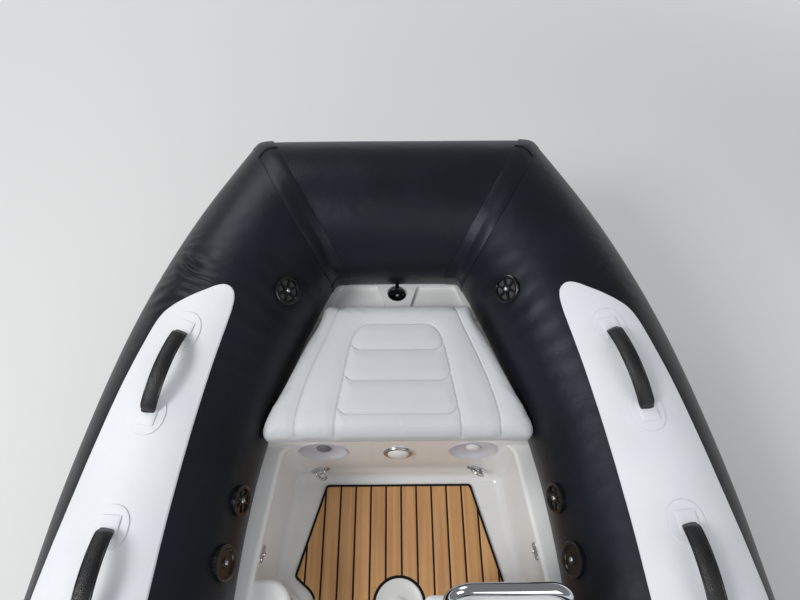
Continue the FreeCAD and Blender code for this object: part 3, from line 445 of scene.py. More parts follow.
@dataclass(frozen=True)
class TeakFinish:
    """Sanded teak: long grain in each plank, a tone of its own per plank, and fine pores."""

    name: str = "teak_planks"
    slot: str = "teak"
    light: Colour = (0.66, 0.365, 0.150)
    dark: Colour = (0.53, 0.268, 0.100)
    pitch: float = PLANK_PITCH
    phase: float = PLANK_PHASE

    def build(self, effects: Effects) -> Material:
        """Makes the material; see Finish.build.

        Args:
            effects: The shared groups, of which it uses none.

        Returns:
            The finished material.
        """
        material, graph, shader = new_material(self.name)
        apart = graph.add("SeparateXYZ", Vector=graph.place())
        shifted = graph.math("ADD", apart.outputs["Y"], 100 * self.pitch - self.phase)
        number = graph.math("FLOOR", graph.math("DIVIDE", shifted, self.pitch))
        tone = graph.add("TexWhiteNoise", {"noise_dimensions": "1D"}, W=number).outputs["Value"]
        shift = graph.add("CombineXYZ", X=graph.math("MULTIPLY", tone, 7.0))
        moved = graph.add("VectorMath", {"operation": "ADD"})
        graph.feed(moved.inputs[0], graph.stretched((2.2, 60.0, 60.0)))
        graph.feed(moved.inputs[1], shift.outputs["Vector"])
        grain = graph.noise(1.0, 7.0, moved.outputs["Vector"], 0.6)
        pores = graph.noise(1.0, 3.0, graph.stretched((40.0, 900.0, 900.0)))
        streak = graph.ramp(grain, 0.32, 0.70)
        colour = graph.mix(streak, self.dark, self.light)
        shade = graph.math("ADD", graph.math("MULTIPLY", tone, 0.12), 0.90)
        toned = graph.add("VectorMath", {"operation": "SCALE"})
        graph.feed(toned.inputs[0], colour)
        graph.feed(toned.inputs["Scale"], shade)
        pore_mask = graph.math("MULTIPLY", graph.ramp(pores, 0.60, 0.72), 0.35)
        colour = graph.mix(pore_mask, toned.outputs["Vector"], tuple(c * 0.4 for c in self.dark))
        graph.feed(shader.inputs["Base Color"], colour)
        graph.feed(shader.inputs["Roughness"], graph.math("ADD", graph.math("MULTIPLY", streak, -0.08), 0.62))
        height = graph.math("SUBTRACT", graph.math("MULTIPLY", grain, 0.5), pore_mask)
        graph.feed(shader.inputs["Normal"], graph.bump(height, 0.0005))
        return material


FINISHES = (
    # The bluish cast of this black fabric's tones and of its gloss colour is painted sky reflection.
    Finish(
        "black_tube_fabric", "black_tube_fabric", (0.0055, 0.0066, 0.0098), 0.40,
        tint=(0.0075, 0.0088, 0.0135), tint_scale=5.0, specular=0.30, gloss_colour=(0.82, 0.90, 1.0),
        scuffs=0.03, grain=Grain.WEAVE, grain_scale=4200.0, grain_depth=0.00012, ripple_scale=11.0,
        ripple_depth=0.003,
    ),
    Finish(
        "white_tube_fabric", "white_tube_fabric", (0.70, 0.715, 0.74), 0.46, tint=(0.665, 0.68, 0.71),
        tint_scale=6.0, dust=0.08, scuffs=0.05, grain=Grain.WEAVE, grain_scale=4200.0, grain_depth=0.00010,
        ripple_scale=9.0, ripple_depth=0.002,
    ),
    Finish("black_rubber", "black_rubber", (0.010, 0.010, 0.011), 0.55, specular=0.4, dust=0.04, scuffs=0.15),
    Finish(
        "black_grip", "black_grip", (0.007, 0.007, 0.008), 0.38, specular=0.45, dust=0.02,
        grain=Grain.PEBBLE, grain_scale=520.0, grain_depth=0.0006,
    ),
    Finish("grip_piping", "black_grip", (0.008, 0.008, 0.009), 0.30, scuffs=0.08),
    Finish("valve_plastic", "black_plastic", (0.004, 0.004, 0.005), 0.24, coat=0.1, scuffs=0.05),
    # Grey of the valves' star cells: painted sheen over what is black plastic.
    Finish("valve_cells_painted_sheen", "black_plastic", (0.050, 0.052, 0.057), 0.32),
    Finish("black_plastic", "black_plastic", (0.013, 0.013, 0.015), 0.30, dust=0.08, scuffs=0.25,
           grain=Grain.PEBBLE, grain_scale=1500.0, grain_depth=0.00006),
    Finish(
        "white_gelcoat", "white_gelcoat", (0.80, 0.80, 0.785), 0.22, tint=(0.775, 0.78, 0.775), coat=0.35,
        dust=0.05, scuffs=0.03, ripple_scale=3.0, ripple_depth=0.0012,
    ),
    Finish(
        "hull_gelcoat", "white_gelcoat", (0.78, 0.78, 0.765), 0.26, tint=(0.72, 0.715, 0.69), coat=0.3,
        dust=0.08, scuffs=0.3, ripple_scale=3.0, ripple_depth=0.0015,
    ),
    Finish("white_plastic", "white_plastic", (0.74, 0.745, 0.74), 0.33, dust=0.06, scuffs=0.05),
    # The port hub's grey is painted shade; the hub is white plastic like the starboard one.
    Finish("hub_plastic_painted_shade", "white_plastic", (0.14, 0.14, 0.145), 0.4, dust=0.06, scuffs=0.05),
    # The covers' bluish grey is painted shade of their recess under the cushion.
    Finish("dish_plastic_painted_shade", "white_plastic", (0.56, 0.56, 0.61), 0.38, scuffs=0.05),
    Finish("caulk", "teak", (0.003, 0.003, 0.003), 0.6, specular=0.25, scuffs=0.02),
    Finish("stainless", "stainless", (0.66, 0.67, 0.69), 0.10, metallic=1.0, scuffs=0.08,
           ripple_scale=30.0, ripple_depth=0.00005),
    Finish("satin_steel", "stainless", (0.60, 0.61, 0.62), 0.28, metallic=1.0, scuffs=0.15),
    Finish(
        "grey_vinyl", "grey_vinyl", (0.55, 0.565, 0.59), 0.50, tint=(0.52, 0.535, 0.56), dust=0.05,
        sheen=0.05, grain=Grain.PEBBLE, grain_scale=900.0, grain_depth=0.00022, ripple_scale=16.0,
        ripple_depth=0.0012,
    ),
    Finish("black_paint", "black_paint", (0.016, 0.016, 0.018), 0.26, coat=0.4, dust=0.07, scuffs=0.12),
    Finish("grey_paint", "black_paint", (0.10, 0.104, 0.11), 0.35, dust=0.08, scuffs=0.15),
    Finish("propeller_paint", "black_paint", (0.02, 0.02, 0.021), 0.33, scuffs=0.5),
    Finish("dial_white", "black_plastic", (0.7, 0.7, 0.7), 0.4),
)


class Paints:
    """Every finish as a material, by name."""

    def __init__(self) -> None:
        """Builds the shared groups and all materials."""
        effects = Effects()
        finishes = (*FINISHES, TeakFinish())
        self.slots = {finish.name: finish.slot for finish in finishes}
        self.materials = {finish.name: finish.build(effects) for finish in finishes}

    def dress(self, finish: str, *nodes: str) -> None:
        """Gives CAD nodes a finish, in place of what they came with.

        Args:
            finish: Name of the finish.
            nodes: Names of the nodes.
        """
        for node in nodes:
            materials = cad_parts[node].data.materials
            materials.clear()
            materials.append(self.materials[finish])


# Mesh helpers


def grid_quads(rows: int, columns: int, wrap: bool) -> Array:
    """Corner numbers of the quads of a grid of rows by columns, joined round if wrap.

    Args:
        rows: Count of rows.
        columns: Count of columns.
        wrap: Join the last column to the first.

    Returns:
        Rows of four corner numbers.
    """
    row = np.arange(rows - 1)[:, None]
    column = np.arange(columns if wrap else columns - 1)[None, :]
    following = (column + 1) % columns
    corners = (row * columns + column, row * columns + following,
               (row + 1) * columns + following, (row + 1) * columns + column)
    return np.stack(corners, axis=-1).reshape(-1, 4)


def new_mesh(name: str, points: Array, quads: Array) -> Mesh:
    """A mesh from points and quads, its doubles merged and its faces turned outwards.

    Args:
        name: Its name.
        points: Points in any grid.
        quads: Corner numbers.

    Returns:
        The mesh.
    """
    mesh = bpy.data.meshes.new(name)
    mesh.from_pydata(np.asarray(points, float).reshape(-1, 3).tolist(), [], np.asarray(quads).tolist())
    work = bmesh.new()
    work.from_mesh(mesh)
    bmesh.ops.remove_doubles(work, verts=work.verts, dist=1e-6)
    bmesh.ops.dissolve_degenerate(work, edges=work.edges, dist=1e-7)
    bmesh.ops.recalc_face_normals(work, faces=work.faces)
    work.to_mesh(mesh)
    work.free()
    for polygon in mesh.polygons:
        polygon.use_smooth = True
    return mesh


def placed(name: str, data: bpy.types.ID) -> bpy.types.Object:
    """A new object of some data, linked to the scene."""
    item = bpy.data.objects.new(name, data)
    bpy.context.scene.collection.objects.link(item)
    return item


def ring_mesh(name: str, rings: Array) -> Mesh:
    """A skin over a stack of rings of points, each joined to the next."""
    return new_mesh(name, rings, grid_quads(*rings.shape[:2], True))


class Shop:
    """Makes objects of the boat from meshes: finish and body in one place."""

    def __init__(self, paints: Paints) -> None:
        """Keeps the paints that pieces are finished with."""
        self.paints = paints

    def piece(
        self,
        mesh: Mesh,
        finish: str,
        body: Body = Body.BOAT,
        replaces: Sequence[str] = (),
        sharp: float | None = None,
    ) -> bpy.types.Object:
        """Puts a mesh in the scene as a piece of the boat.

        Args:
            mesh: The piece's mesh, with its place in its points.
            finish: Name of its finish.
            body: The body that it rides on.
            replaces: CAD nodes that it stands for.
            sharp: Angle in degrees past which its edges stay sharp.

        Returns:
            The new object.
        """
        item = placed(mesh.name, mesh)
        mesh.materials.clear()
        mesh.materials.append(self.paints.materials[finish])
        if sharp is not None:
            mesh.set_sharp_from_angle(angle=math.radians(sharp))
        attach(item, body.value)
        if replaces:
            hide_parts(*replaces)
        log.info("piece %s: %d faces", item.name, len(mesh.polygons))
        return item


@dataclass
class Assembly:
    """A sub-assembly of the boat, which makes its pieces with the shop."""

    shop: Shop

    def build(self) -> None:
        """Makes and dresses the assembly's pieces."""
        raise NotImplementedError


def joined(name: str, parts: Sequence[Mesh]) -> Mesh:
    """One mesh from several, which are removed.

    Args:
        name: The new mesh's name.
        parts: The meshes.

    Returns:
        The new mesh.
    """
    work = bmesh.new()
    for part in parts:
        work.from_mesh(part)
        bpy.data.meshes.remove(part)
    mesh = bpy.data.meshes.new(name)
    work.to_mesh(mesh)
    work.free()
    return mesh


def mirrored(points: Array) -> Array:
    """Points on the other side of the centre plane."""
    return points * np.array([1.0, -1.0, 1.0])


def unit(vector: Array) -> Array:
    """Vectors scaled to length one, along the last axis."""
    return vector / np.linalg.norm(vector, axis=-1, keepdims=True)


def turn_angles(steps: int) -> Array:
    """Even angles round one full turn, in radians."""
    return np.linspace(0, 2 * math.pi, steps, endpoint=False)


def eased(steps: int) -> Array:
    """Shares from 0 to 1, closer together near both ends: (1 - cos) / 2."""
    return 0.5 - 0.5 * np.cos(np.linspace(0, math.pi, steps))


def signed_power(wave: Array, power: float) -> Array:
    """Size of a wave raised to a power, its sign kept: it squares up or rounds off an oval."""
    return np.sign(wave) * np.abs(wave) ** power


def smoothstep(value: Array, low: float, high: float) -> Array:
    """A smooth rise from 0 at low to 1 at high."""
    t = np.clip((value - low) / (high - low), 0.0, 1.0)
    return t * t * (3 - 2 * t)


def basis(axis: Array) -> tuple[Array, Array]:
    """Two unit vectors square to an axis and to each other.

    Args:
        axis: A direction.

    Returns:
        The two unit vectors.
    """
    axis = unit(np.asarray(axis, float))
    helper = np.array([0.0, 0.0, 1.0]) if abs(axis[2]) < 0.9 else np.array([1.0, 0.0, 0.0])
    first = unit(np.cross(helper, axis))
    return first, np.cross(axis, first)


def turned_mesh(name: str, profile: Sequence[tuple[float, float]], centre: Array, axis: Array,
                steps: int = 64) -> Mesh:
    """A profile of (radius, height) turned about an axis: point = centre + axis*h + ring(angle)*r.

    Args:
        name: Its name.
        profile: Rows of radius and height.
        centre: Foot of the axis.
        axis: Its direction.
        steps: Corners of each ring.

    Returns:
        The turned mesh.
    """
    first, second = basis(axis)
    spots = np.array(profile, float)
    angle = turn_angles(steps)
    ring = np.cos(angle)[:, None] * first + np.sin(angle)[:, None] * second
    points = centre + spots[:, 1, None, None] * unit(np.asarray(axis, float)) + spots[:, 0, None, None] * ring
    return ring_mesh(name, points)


def tube_mesh(name: str, path: Array, radius: float | Array, steps: int) -> Mesh:
    """A round tube along a path: each ring stands square to the path, carried without twist.

    Args:
        name: The mesh's name.
        path: Points along the centre line.
        radius: One radius, or one for each point.
        steps: Corners of each ring.

    Returns:
        The tube, its ends closed.
    """
    ahead = unit(np.gradient(path, axis=0))
    first = np.empty_like(path)
    first[0] = basis(ahead[0])[0]
    for number in range(1, len(path)):
        carried = first[number - 1] - ahead[number] * (first[number - 1] @ ahead[number])
        first[number] = unit(carried)
    second = np.cross(ahead, first)
    angle = turn_angles(steps)
    radii = np.broadcast_to(np.asarray(radius, float), (len(path),))[:, None, None]
    cos, sin = np.cos(angle)[None, :, None], np.sin(angle)[None, :, None]
    ring = cos * first[:, None, :] + sin * second[:, None, :]
    points = path[:, None, :] + ring * radii
    ends = [np.repeat(path[:1, None, :], steps, axis=1), points, np.repeat(path[-1:, None, :], steps, axis=1)]
    return ring_mesh(name, np.concatenate(ends))


def slab_mesh(name: str, top: Array, bottom: Array) -> Mesh:
    """A closed skin between two grids of the same size: both faces and the four edges between them.

    Args:
        name: Its name.
        top: Grid of the upper face.
        bottom: Grid of the lower face.

    Returns:
        The slab.
    """
    rows, columns = top.shape[:2]
    count = rows * columns
    points = np.concatenate([top.reshape(-1, 3), bottom.reshape(-1, 3)])
    face = grid_quads(rows, columns, False)
    index = np.arange(count).reshape(rows, columns)
    rim = np.concatenate([index[0, :], index[1:, -1], index[-1, -2::-1], index[-2:0:-1, 0]])
    following = np.roll(rim, -1)
    wall = np.stack([rim, following, following + count, rim + count], axis=-1)
    return new_mesh(name, points, np.concatenate([face, face + count, wall]))


# The collar


@dataclass
class TubePath:
    """Centre line of the port tube: a straight run, two arcs, and a straight run to the bow mitre."""

    radius: float = 0.210
    toe_in: float = 2.0
    aft_x: float = -1.360
    bends: tuple = ((0.641, 0.577, 0.510), (1.094, 0.507, 0.549), (1.518, 0.334, 0.619))
    bow_x: float = 1.588

    def __post_init__(self) -> None:
        """Works out the pieces of the line and the corner where it meets the bow tube."""
        toe = math.radians(self.toe_in)
        heading = np.array([math.cos(toe), -math.sin(toe), 0.0])
        up = UP
        points = [np.array(point) for point in self.bends]
        first = (points[0][0] - self.aft_x) / heading[0]
        self.start = points[0] - heading * first
        self.pieces = [(0.0, first, self.start, heading, up, None, 0.0)]
        run = first
        place = points[0]
        for target in points[1:]:
            chord = target - place
            normal = unit(np.cross(heading, chord))
            across = unit(np.cross(normal, heading))
            radius = chord @ chord / (2 * chord @ across)
            turn = 2 * math.atan2(np.linalg.norm(np.cross(heading, chord)), heading @ chord)
            self.pieces.append((run, run + radius * turn, place, heading, up, normal, radius))
            run += radius * turn
            heading = self.spun(heading, normal, np.array([turn]))[0]
            up = self.spun(up, normal, np.array([turn]))[0]
            place = target
        self.bend_end = run
        self.last_heading = heading
        self.corner = place + heading * ((self.bow_x - place[0]) / heading[0])
        self.mitre = unit(heading + np.array([0.0, -1.0, 0.0]))

    @staticmethod
    def spun(vector: Array, axis: Array, angle: Array) -> Array:
        """A vector turned about an axis: v*cos + (axis x v)*sin + axis*(axis . v)*(1 - cos)."""
        cos, sin = np.cos(angle)[:, None], np.sin(angle)[:, None]
        return vector * cos + np.cross(axis, vector) * sin + axis * (axis @ vector) * (1 - cos)

    def line(self, run: Array) -> tuple[Array, Array, Array]:
        """Centre, heading and crown direction at each distance along the line.

        Args:
            run: Distances along the line.

        Returns:
            Three arrays of rows.
        """
        run = np.asarray(run, float)
        centre, ahead, crown = (np.zeros((len(run), 3)) for _ in range(3))
        for number, (low, high, place, heading, up, normal, radius) in enumerate(self.pieces):
            inside = np.full(len(run), True)
            if number > 0:
                inside &= run >= low
            if number < len(self.pieces) - 1:
                inside &= run <= high
            t = run[inside] - low
            if normal is None:
                centre[inside] = place + t[:, None] * heading
                ahead[inside] = heading
                crown[inside] = up
            else:
                turn = t / radius
                pivot = place + unit(np.cross(normal, heading)) * radius
                centre[inside] = pivot + self.spun(place - pivot, normal, turn)
                ahead[inside] = self.spun(heading, normal, turn)
                crown[inside] = self.spun(up, normal, turn)
        return centre, ahead, crown

    def run_at(self, x: Array | float) -> Array | float:
        """Distance along the line at which it reaches each x, read from a dense table."""
        table = np.linspace(-0.5, self.bend_end, 3000)
        return np.interp(x, self.line(table)[0][:, 0], table)

    def skin(self, run: Array, angle: Array, lift: Array | float = 0.0) -> Array:
        """Points on the skin: centre + (inboard*cos + crown*sin) * (radius + lift).

        Args:
            run: Distances along the line, one a row or one a point.
            angle: Angles over the crown in radians, of the same shape.
            lift: Height over the skin.

        Returns:
            Points of the broadcast shape.
        """
        run, angle, lift = np.broadcast_arrays(np.asarray(run, float), np.asarray(angle, float), lift)
        centre, ahead, crown = self.line(run.ravel())
        inboard = np.cross(ahead, crown)
        flat = angle.ravel()[:, None]
        out = inboard * np.cos(flat) + crown * np.sin(flat)
        points = centre + out * (self.radius + lift.ravel()[:, None])
        return points.reshape(*run.shape, 3)

    def out(self, run: float, angle: float) -> Array:
        """Outward direction at one spot of the skin."""
        return unit(self.skin(np.array([run]), np.array([angle]), 1.0) - self.line(np.array([run]))[0])[0]

    def lead(self, run: Array, angle: Array, lift: Array | float = 0.0) -> Array:
        """Points on the skin, which goes on straight ahead past the end of the last bend."""
        past = np.maximum(run - self.bend_end, 0.0)
        return self.skin(np.minimum(run, self.bend_end), angle, lift) + past[..., None] * self.last_heading

    def mitre_run(self, angle: Array) -> Array:
        """How far along the line the skin meets the mitre plane, at each angle, by halving a span.

        Args:
            angle: Angles over the crown.

        Returns:
            Distances along the line.
        """
        low, high = np.full(angle.shape, self.bend_end - 0.3), np.full(angle.shape, self.bend_end + 0.4)
        for _ in range(40):
            run = (low + high) / 2
            short = (self.corner - self.lead(run, angle)) @ self.mitre > 0
            low, high = np.where(short, run, low), np.where(short, high, run)
        return low


def noise_waves(u: Array, v: Array, seed: int, count: int = 9, low: float = 1.0, high: float = 4.0) -> Array:
    """Smooth noise: a sum of sine waves of seeded directions, lengths and phases.

    Args:
        u: First coordinate.
        v: Second coordinate.
        seed: Picks the waves.
        count: How many.
        low: Slowest wave.
        high: Fastest wave.

    Returns:
        The noise, about -2 to 2.
    """
    random = np.random.default_rng(seed)
    total = np.zeros(np.broadcast(u, v).shape)
    for _ in range(count):
        a, b = random.uniform(low, high, 2) * random.choice([-1, 1], 2)
        total = total + np.sin(a * u + b * v + random.uniform(0, 2 * math.pi))
    return total / math.sqrt(count)


@dataclass
class Collar(Assembly):
    """The inflated collar: one skin from stern cone to stern cone, with panels, tapes and strakes."""

    path: TubePath
    around: int = 160
    cone_length: float = 0.230
    cone_radius: float = 0.095
    cap: tuple = (
        # distance aft of the tube's start and radius, from the stern pole to the cone
        (0.279, 0.0), (0.279, 0.030), (0.2765, 0.046), (0.270, 0.0535), (0.262, 0.0575),
        (0.2325, 0.0935), (0.230, 0.0955),
    )
    port_pleats: float = 0.0058
    starboard_pleats: float = 0.0012
    mitre_zone: float = 0.16
    softening: int = 26
    softened_rows: int = 22
    tape_rows: int = 56
    tape_half: float = 0.0315
    tape_lift: float = 0.0020
    tape_sweep: float = 0.0228
    sweep_arc: tuple = (3, 140)
    doubler_arc: tuple = (116, 140)
    doubler_lift: float = 0.0024
    panel_lift: float = 0.0020
    panel_rows: tuple = (
        # x of the centre line, inner and outer angle over the crown
        (1.2765, 77.5, 77.5), (1.2740, 74.6, 80.6), (1.2680, 72.1, 83.3), (1.2525, 69.8, 88.2),
        (1.2415, 68.9, 91.6), (1.2225, 67.9, 97.6), (1.1975, 67.1, 105.2), (1.1830, 66.7, 109.2),
        (1.1630, 66.3, 112.0), (1.1410, 65.8, 113.4), (1.1000, 65.1, 114.7), (1.0000, 63.6, 117.5),
        (0.8800, 62.3, 119.4), (0.7700, 61.6, 121.7), (0.7000, 61.5, 124.0), (0.6450, 61.5, 126.5),
        (0.5600, 61.5, 130.0), (0.4000, 61.5, 132.0), (-1.3600, 61.5, 132.0),
    )

    def folds(self, distance: Array, angle: Array) -> Array:
        """Height of the puckers that run off a mitre seam: they fade over 12 cm from it.

        Args:
            distance: Distance from the mitre.
            angle: Angle over the crown.

        Returns:
            Heights.
        """
        fade = np.exp(-np.abs(distance) / 0.055) * smoothstep(np.abs(distance), 0.0, 0.028)
        wave = noise_waves(angle * 9.0, distance * 6.0, 5, 7, 1.0, 2.6)
        inner = 0.45 + 0.55 * np.clip(np.cos(angle - 0.5), 0, 1)
        return 0.0010 * fade * wave * inner

    def bend_folds(self, run: Array, angle: Array) -> Array:
        """Height of the soft folds across the inboard side of the bends, where the skin is pressed.

        Args:
            run: Distance along the line.
            angle: Angle over the crown.

        Returns:
            Heights.
        """
        middle = self.path.bend_end - 0.28
        along = np.exp(-(((run - middle) / 0.22) ** 2))
        inner = np.clip(np.cos(angle - 0.75), 0, 1) ** 2
        phase = run * 2 * math.pi / 0.055 + 1.6 * np.sin(angle * 2.3)
        phase = phase + 0.7 * noise_waves(run * 8, angle * 2, 11)
        return 0.0007 * along * inner * np.sin(phase)

    def pleats(self, run: Array, angle: Array, strength: float) -> Array:
        """Height of the pinched pleats across the crown, ahead of the wear panel.

        Args:
            run: Distance along the line.
            angle: Angle over the crown.
            strength: Their height.

        Returns:
            Heights.
        """
        along = np.exp(-(((run - 2.652) / 0.080) ** 2))
        around = np.exp(-(((angle - math.radians(111)) / math.radians(22)) ** 2))
        phase = run * 2 * math.pi / 0.0310 + 2.6 * np.sin(angle * 2.7)
        phase = phase + 2.4 * noise_waves(run * 11, angle * 2, 21)
        ridge = 1 - np.abs(np.sin(phase / 2)) ** 0.8
        uneven = 0.65 + 0.55 * noise_waves(run * 16, angle * 4, 17)
        return strength * along * around * uneven * (ridge * 2 - 0.8)

    def dimples(self, run: Array, angle: Array) -> Array:
        """Height of the shallow dents in the dark skin beside the panel's inner edge.

        Args:
            run: Distance along the line.
            angle: Angle over the crown.

        Returns:
            Heights.
        """
        around = np.exp(-(((angle - math.radians(48)) / math.radians(12)) ** 2))
        along = smoothstep(run, 1.9, 2.2) * smoothstep(2.65 - run, 0.0, 0.2)
        return 0.00018 * along * around * noise_waves(run * 70, angle * 9, 31, 9, 0.6, 1.6)

    def half_skin(self, side: Side) -> Array:
        """Rings of one half, from the stern pole to the mitre.

        Args:
            side: The half; the port one has the deeper pleats.

        Returns:
            Rows of points, all with positive Y.
        """
        path = self.path
        strength = self.port_pleats if side is Side.PORT else self.starboard_pleats
        angle = turn_angles(self.around)
        offsets = list(self.cap)
        for t in np.linspace(0.93, 0.0, 12):
            offsets.append((self.cone_length * t, path.radius + (self.cone_radius - path.radius) * t))
        around = self.around
        stern = [path.skin(np.full(around, -back), angle, radius - path.radius) for back, radius in offsets]
        first = path.bend_end - self.mitre_zone
        straight = path.pieces[0][1]
        runs = np.concatenate([np.linspace(0.006, straight - 0.05, 36), np.linspace(straight, first, 130)])
        share = np.concatenate([np.linspace(0.03, 0.80, 30), np.linspace(0.82, 1.0, 18)])
        end = path.mitre_run(angle)
        whole = np.repeat(runs[:, None], around, axis=1)
        run = np.concatenate([whole, first + share[:, None] * (end - first)])
        turn = np.broadcast_to(angle, run.shape)
        slack = 0.0006 * noise_waves(run * 5, np.cos(turn) * 2 + np.sin(turn), 3)
        lift = slack + self.bend_folds(run, turn) + self.pleats(run, turn, strength) + self.dimples(run, turn)
        left = end - run
        lift = lift * smoothstep(left, 0.0, 0.07) + self.folds(left, turn)
        return np.concatenate([np.array(stern), path.lead(run, turn, lift)])

    def bow_skin(self) -> Array:
        """Rings across the bow: straight lines from mitre to mitre, lifted by folds and slack.

        Returns:
            Rows of points, from port to starboard.
        """
        angle = turn_angles(self.around)
        port = self.path.lead(self.path.mitre_run(angle), angle)
        starboard = mirrored(port)
        out = port - np.array([self.path.corner[0], 0.0, self.path.corner[2]])
        out[:, 1] = 0.0
        out = unit(out)
        width = np.linalg.norm(port - starboard, axis=-1)
        ends = np.linspace(0.008, 0.2, 22)
        rows = []
        for t in np.concatenate([ends, np.linspace(0.23, 0.77, 18), 1 - ends[::-1]]):
            height = self.folds(width * t, angle + 1.3) + self.folds(width * (1 - t), angle + 2.9)
            height = height + 0.0005 * noise_waves(np.full(angle.shape, t * 3.0), np.cos(angle) * 2, 8)
            rows.append(port + (starboard - port) * t + out * height[:, None])
        return np.array(rows)

    def build(self) -> None:
        """Makes the skin and everything glued to it."""
        port, starboard = self.half_skin(Side.PORT), self.half_skin(Side.STARBOARD)
        bow = self.bow_skin()
        rows = np.concatenate([port, bow, mirrored(starboard[::-1])])
        mitres = (len(port) - 1, len(port) + len(bow))
        for mitre in mitres:
            near = slice(mitre - self.softened_rows, mitre + self.softened_rows + 1)
            rows[near] = self.softened(rows[near])
        self.shop.piece(ring_mesh("collar_skin", rows), "black_tube_fabric", replaces=(
            "collar_port", "collar_starboard", "collar_bow", "stern_cones"))
        self.build_panels()
        self.build_tapes([rows[mitre - self.tape_rows:mitre + self.tape_rows + 1] for mitre in mitres])
        self.shop.paints.dress("black_rubber", "rub_strake_port", "rub_strake_starboard", "rub_strake_bow")

    def build_panels(self) -> None:
        """The pale wear panels: across each station the skin runs from an inner to an outer angle."""
        edges = np.array(self.panel_rows)
        tip, stern = edges[0, 0], edges[-1, 0]
        back = np.sqrt(tip - edges[:, 0])
        last = [1.612, 1.6165, 1.6185, math.sqrt(tip - stern)]
        share = np.concatenate([np.linspace(0, 0.94, 130), np.linspace(0.95, 1.6, 45), last])
        inner = np.radians(np.interp(share, back, edges[:, 1]))
        outer = np.radians(np.interp(share, back, edges[:, 2]))
        for _ in range(3):
            for line in (inner, outer):
                line[1:120] = (line[:119] + 2 * line[1:120] + line[2:121]) / 4
        run_line = self.path.run_at(tip - share ** 2)
        run_line[-1] = 0.0
        angle = inner[:, None] + eased(96)[None, :] * (outer - inner)[:, None]
        run = np.broadcast_to(run_line[:, None], angle.shape)
        sides = np.minimum(angle - angle[:, :1], angle[:, -1:] - angle) * self.path.radius
        edge = np.minimum(sides, np.minimum(run, run_line[0] - run + 0.0005))
        lift = 0.0002 + self.panel_lift * (0.35 + 0.65 * smoothstep(edge, 0.0, 0.0035))
        lift = lift + self.bend_folds(run, angle) * 0.6
        for side in Side:
            top = self.path.skin(run, angle, lift)
            bottom = self.path.skin(run, angle, -0.0012)
            if side is Side.STARBOARD:
                top, bottom = mirrored(top), mirrored(bottom)
            name = side.name.lower()
            mesh = slab_mesh("wear_panel_skin_" + name, top, bottom)
            self.shop.piece(mesh, "white_tube_fabric", replaces=("wear_panel_" + name,), sharp=50)

    def softened(self, rows: Array) -> Array:
        """Rows with the crease between them rounded: each is averaged with its neighbours, many times.

        Args:
            rows: Rings of the skin, the crease in the middle.

        Returns:
            The rounded rings, of which the first and last stay as they are.
        """
        fade = np.sin(np.linspace(0, math.pi, len(rows)))[1:-1, None, None]
        rows = rows.copy()
        for _ in range(self.softening):
            mean = (rows[:-2] + 2 * rows[1:-1] + rows[2:]) / 4
            rows[1:-1] += (mean - rows[1:-1]) * fade
        return rows

    @staticmethod
    def band(rows: Array, places: Array, lift: Array) -> Array:
        """Points of a band that lies on the skin beside a mitre.

        Args:
            rows: Rings of the skin, the mitre's own in the middle.
            places: Distance from the mitre, for each line of the band and each point of the ring.
            lift: Height over the skin of each line of the band.

        Returns:
            One ring of points for each line.
        """
        step = np.linalg.norm(np.diff(rows, axis=0), axis=-1)
        reach = np.concatenate([np.zeros((1, rows.shape[1])), np.cumsum(step, axis=0)])
        reach = reach - reach[len(rows) // 2]
        out = unit(rows - rows.mean(axis=1, keepdims=True))
        lines = []
        for place, height in zip(places, lift):
            index = np.clip((reach < place).sum(axis=0), 1, len(rows) - 1)[None]
            low, high = np.take_along_axis(reach, index - 1, 0), np.take_along_axis(reach, index, 0)
            share = ((place - low) / np.maximum(high - low, 1e-9))[0][:, None]
            pick = index[..., None]
            before = np.take_along_axis(rows, pick - 1, 0)[0]
            after = np.take_along_axis(rows, pick, 0)[0]
            away = np.take_along_axis(out, pick, 0)[0]
            lines.append(before * (1 - share) + after * share + away * height)
        return np.array(lines)

    def build_tapes(self, patches: Sequence[Array]) -> None:
        """A flat tape over each mitre, swept a little aft over the crown, and a doubler at its top corner.

        Args:
            patches: Rings of the skin round the port mitre and round the starboard one.
        """
        low, high = self.sweep_arc
        degrees = np.degrees(turn_angles(self.around))
        sweep = self.tape_sweep * np.sin(math.pi * np.clip((degrees - low) / (high - low), 0, 1))
        half = self.tape_half
        across = np.array([
            -half, -half + 0.0005, -half + 0.0012, -0.01, 0.0, 0.01, half - 0.0012, half - 0.0005, half,
        ])
        lift = self.tape_lift * np.array([0.0, 0.85, 1.0, 1.0, 1.0, 1.0, 1.0, 0.85, 0.0])
        under = np.full(len(across), -0.002)
        corner = np.arange(*(round(self.around * edge / 360) for edge in self.doubler_arc))
        layers = (
            ("tape", across, lift, np.append(np.arange(self.around), 0)),
            ("doubler", across * 1.04, lift + self.doubler_lift * (lift > 0), corner),
        )
        parts = []
        for aft, rows in zip((-1, 1), patches):
            for name, spots, heights, ring in layers:
                places = spots[:, None] + aft * sweep[None, :]
                top, bottom = (self.band(rows, places, height)[:, ring] for height in (heights, under))
                parts.append(slab_mesh(name, top, bottom))
        self.shop.piece(joined("mitre_tapes", parts), "black_tube_fabric", replaces=("seam_tapes",), sharp=40)


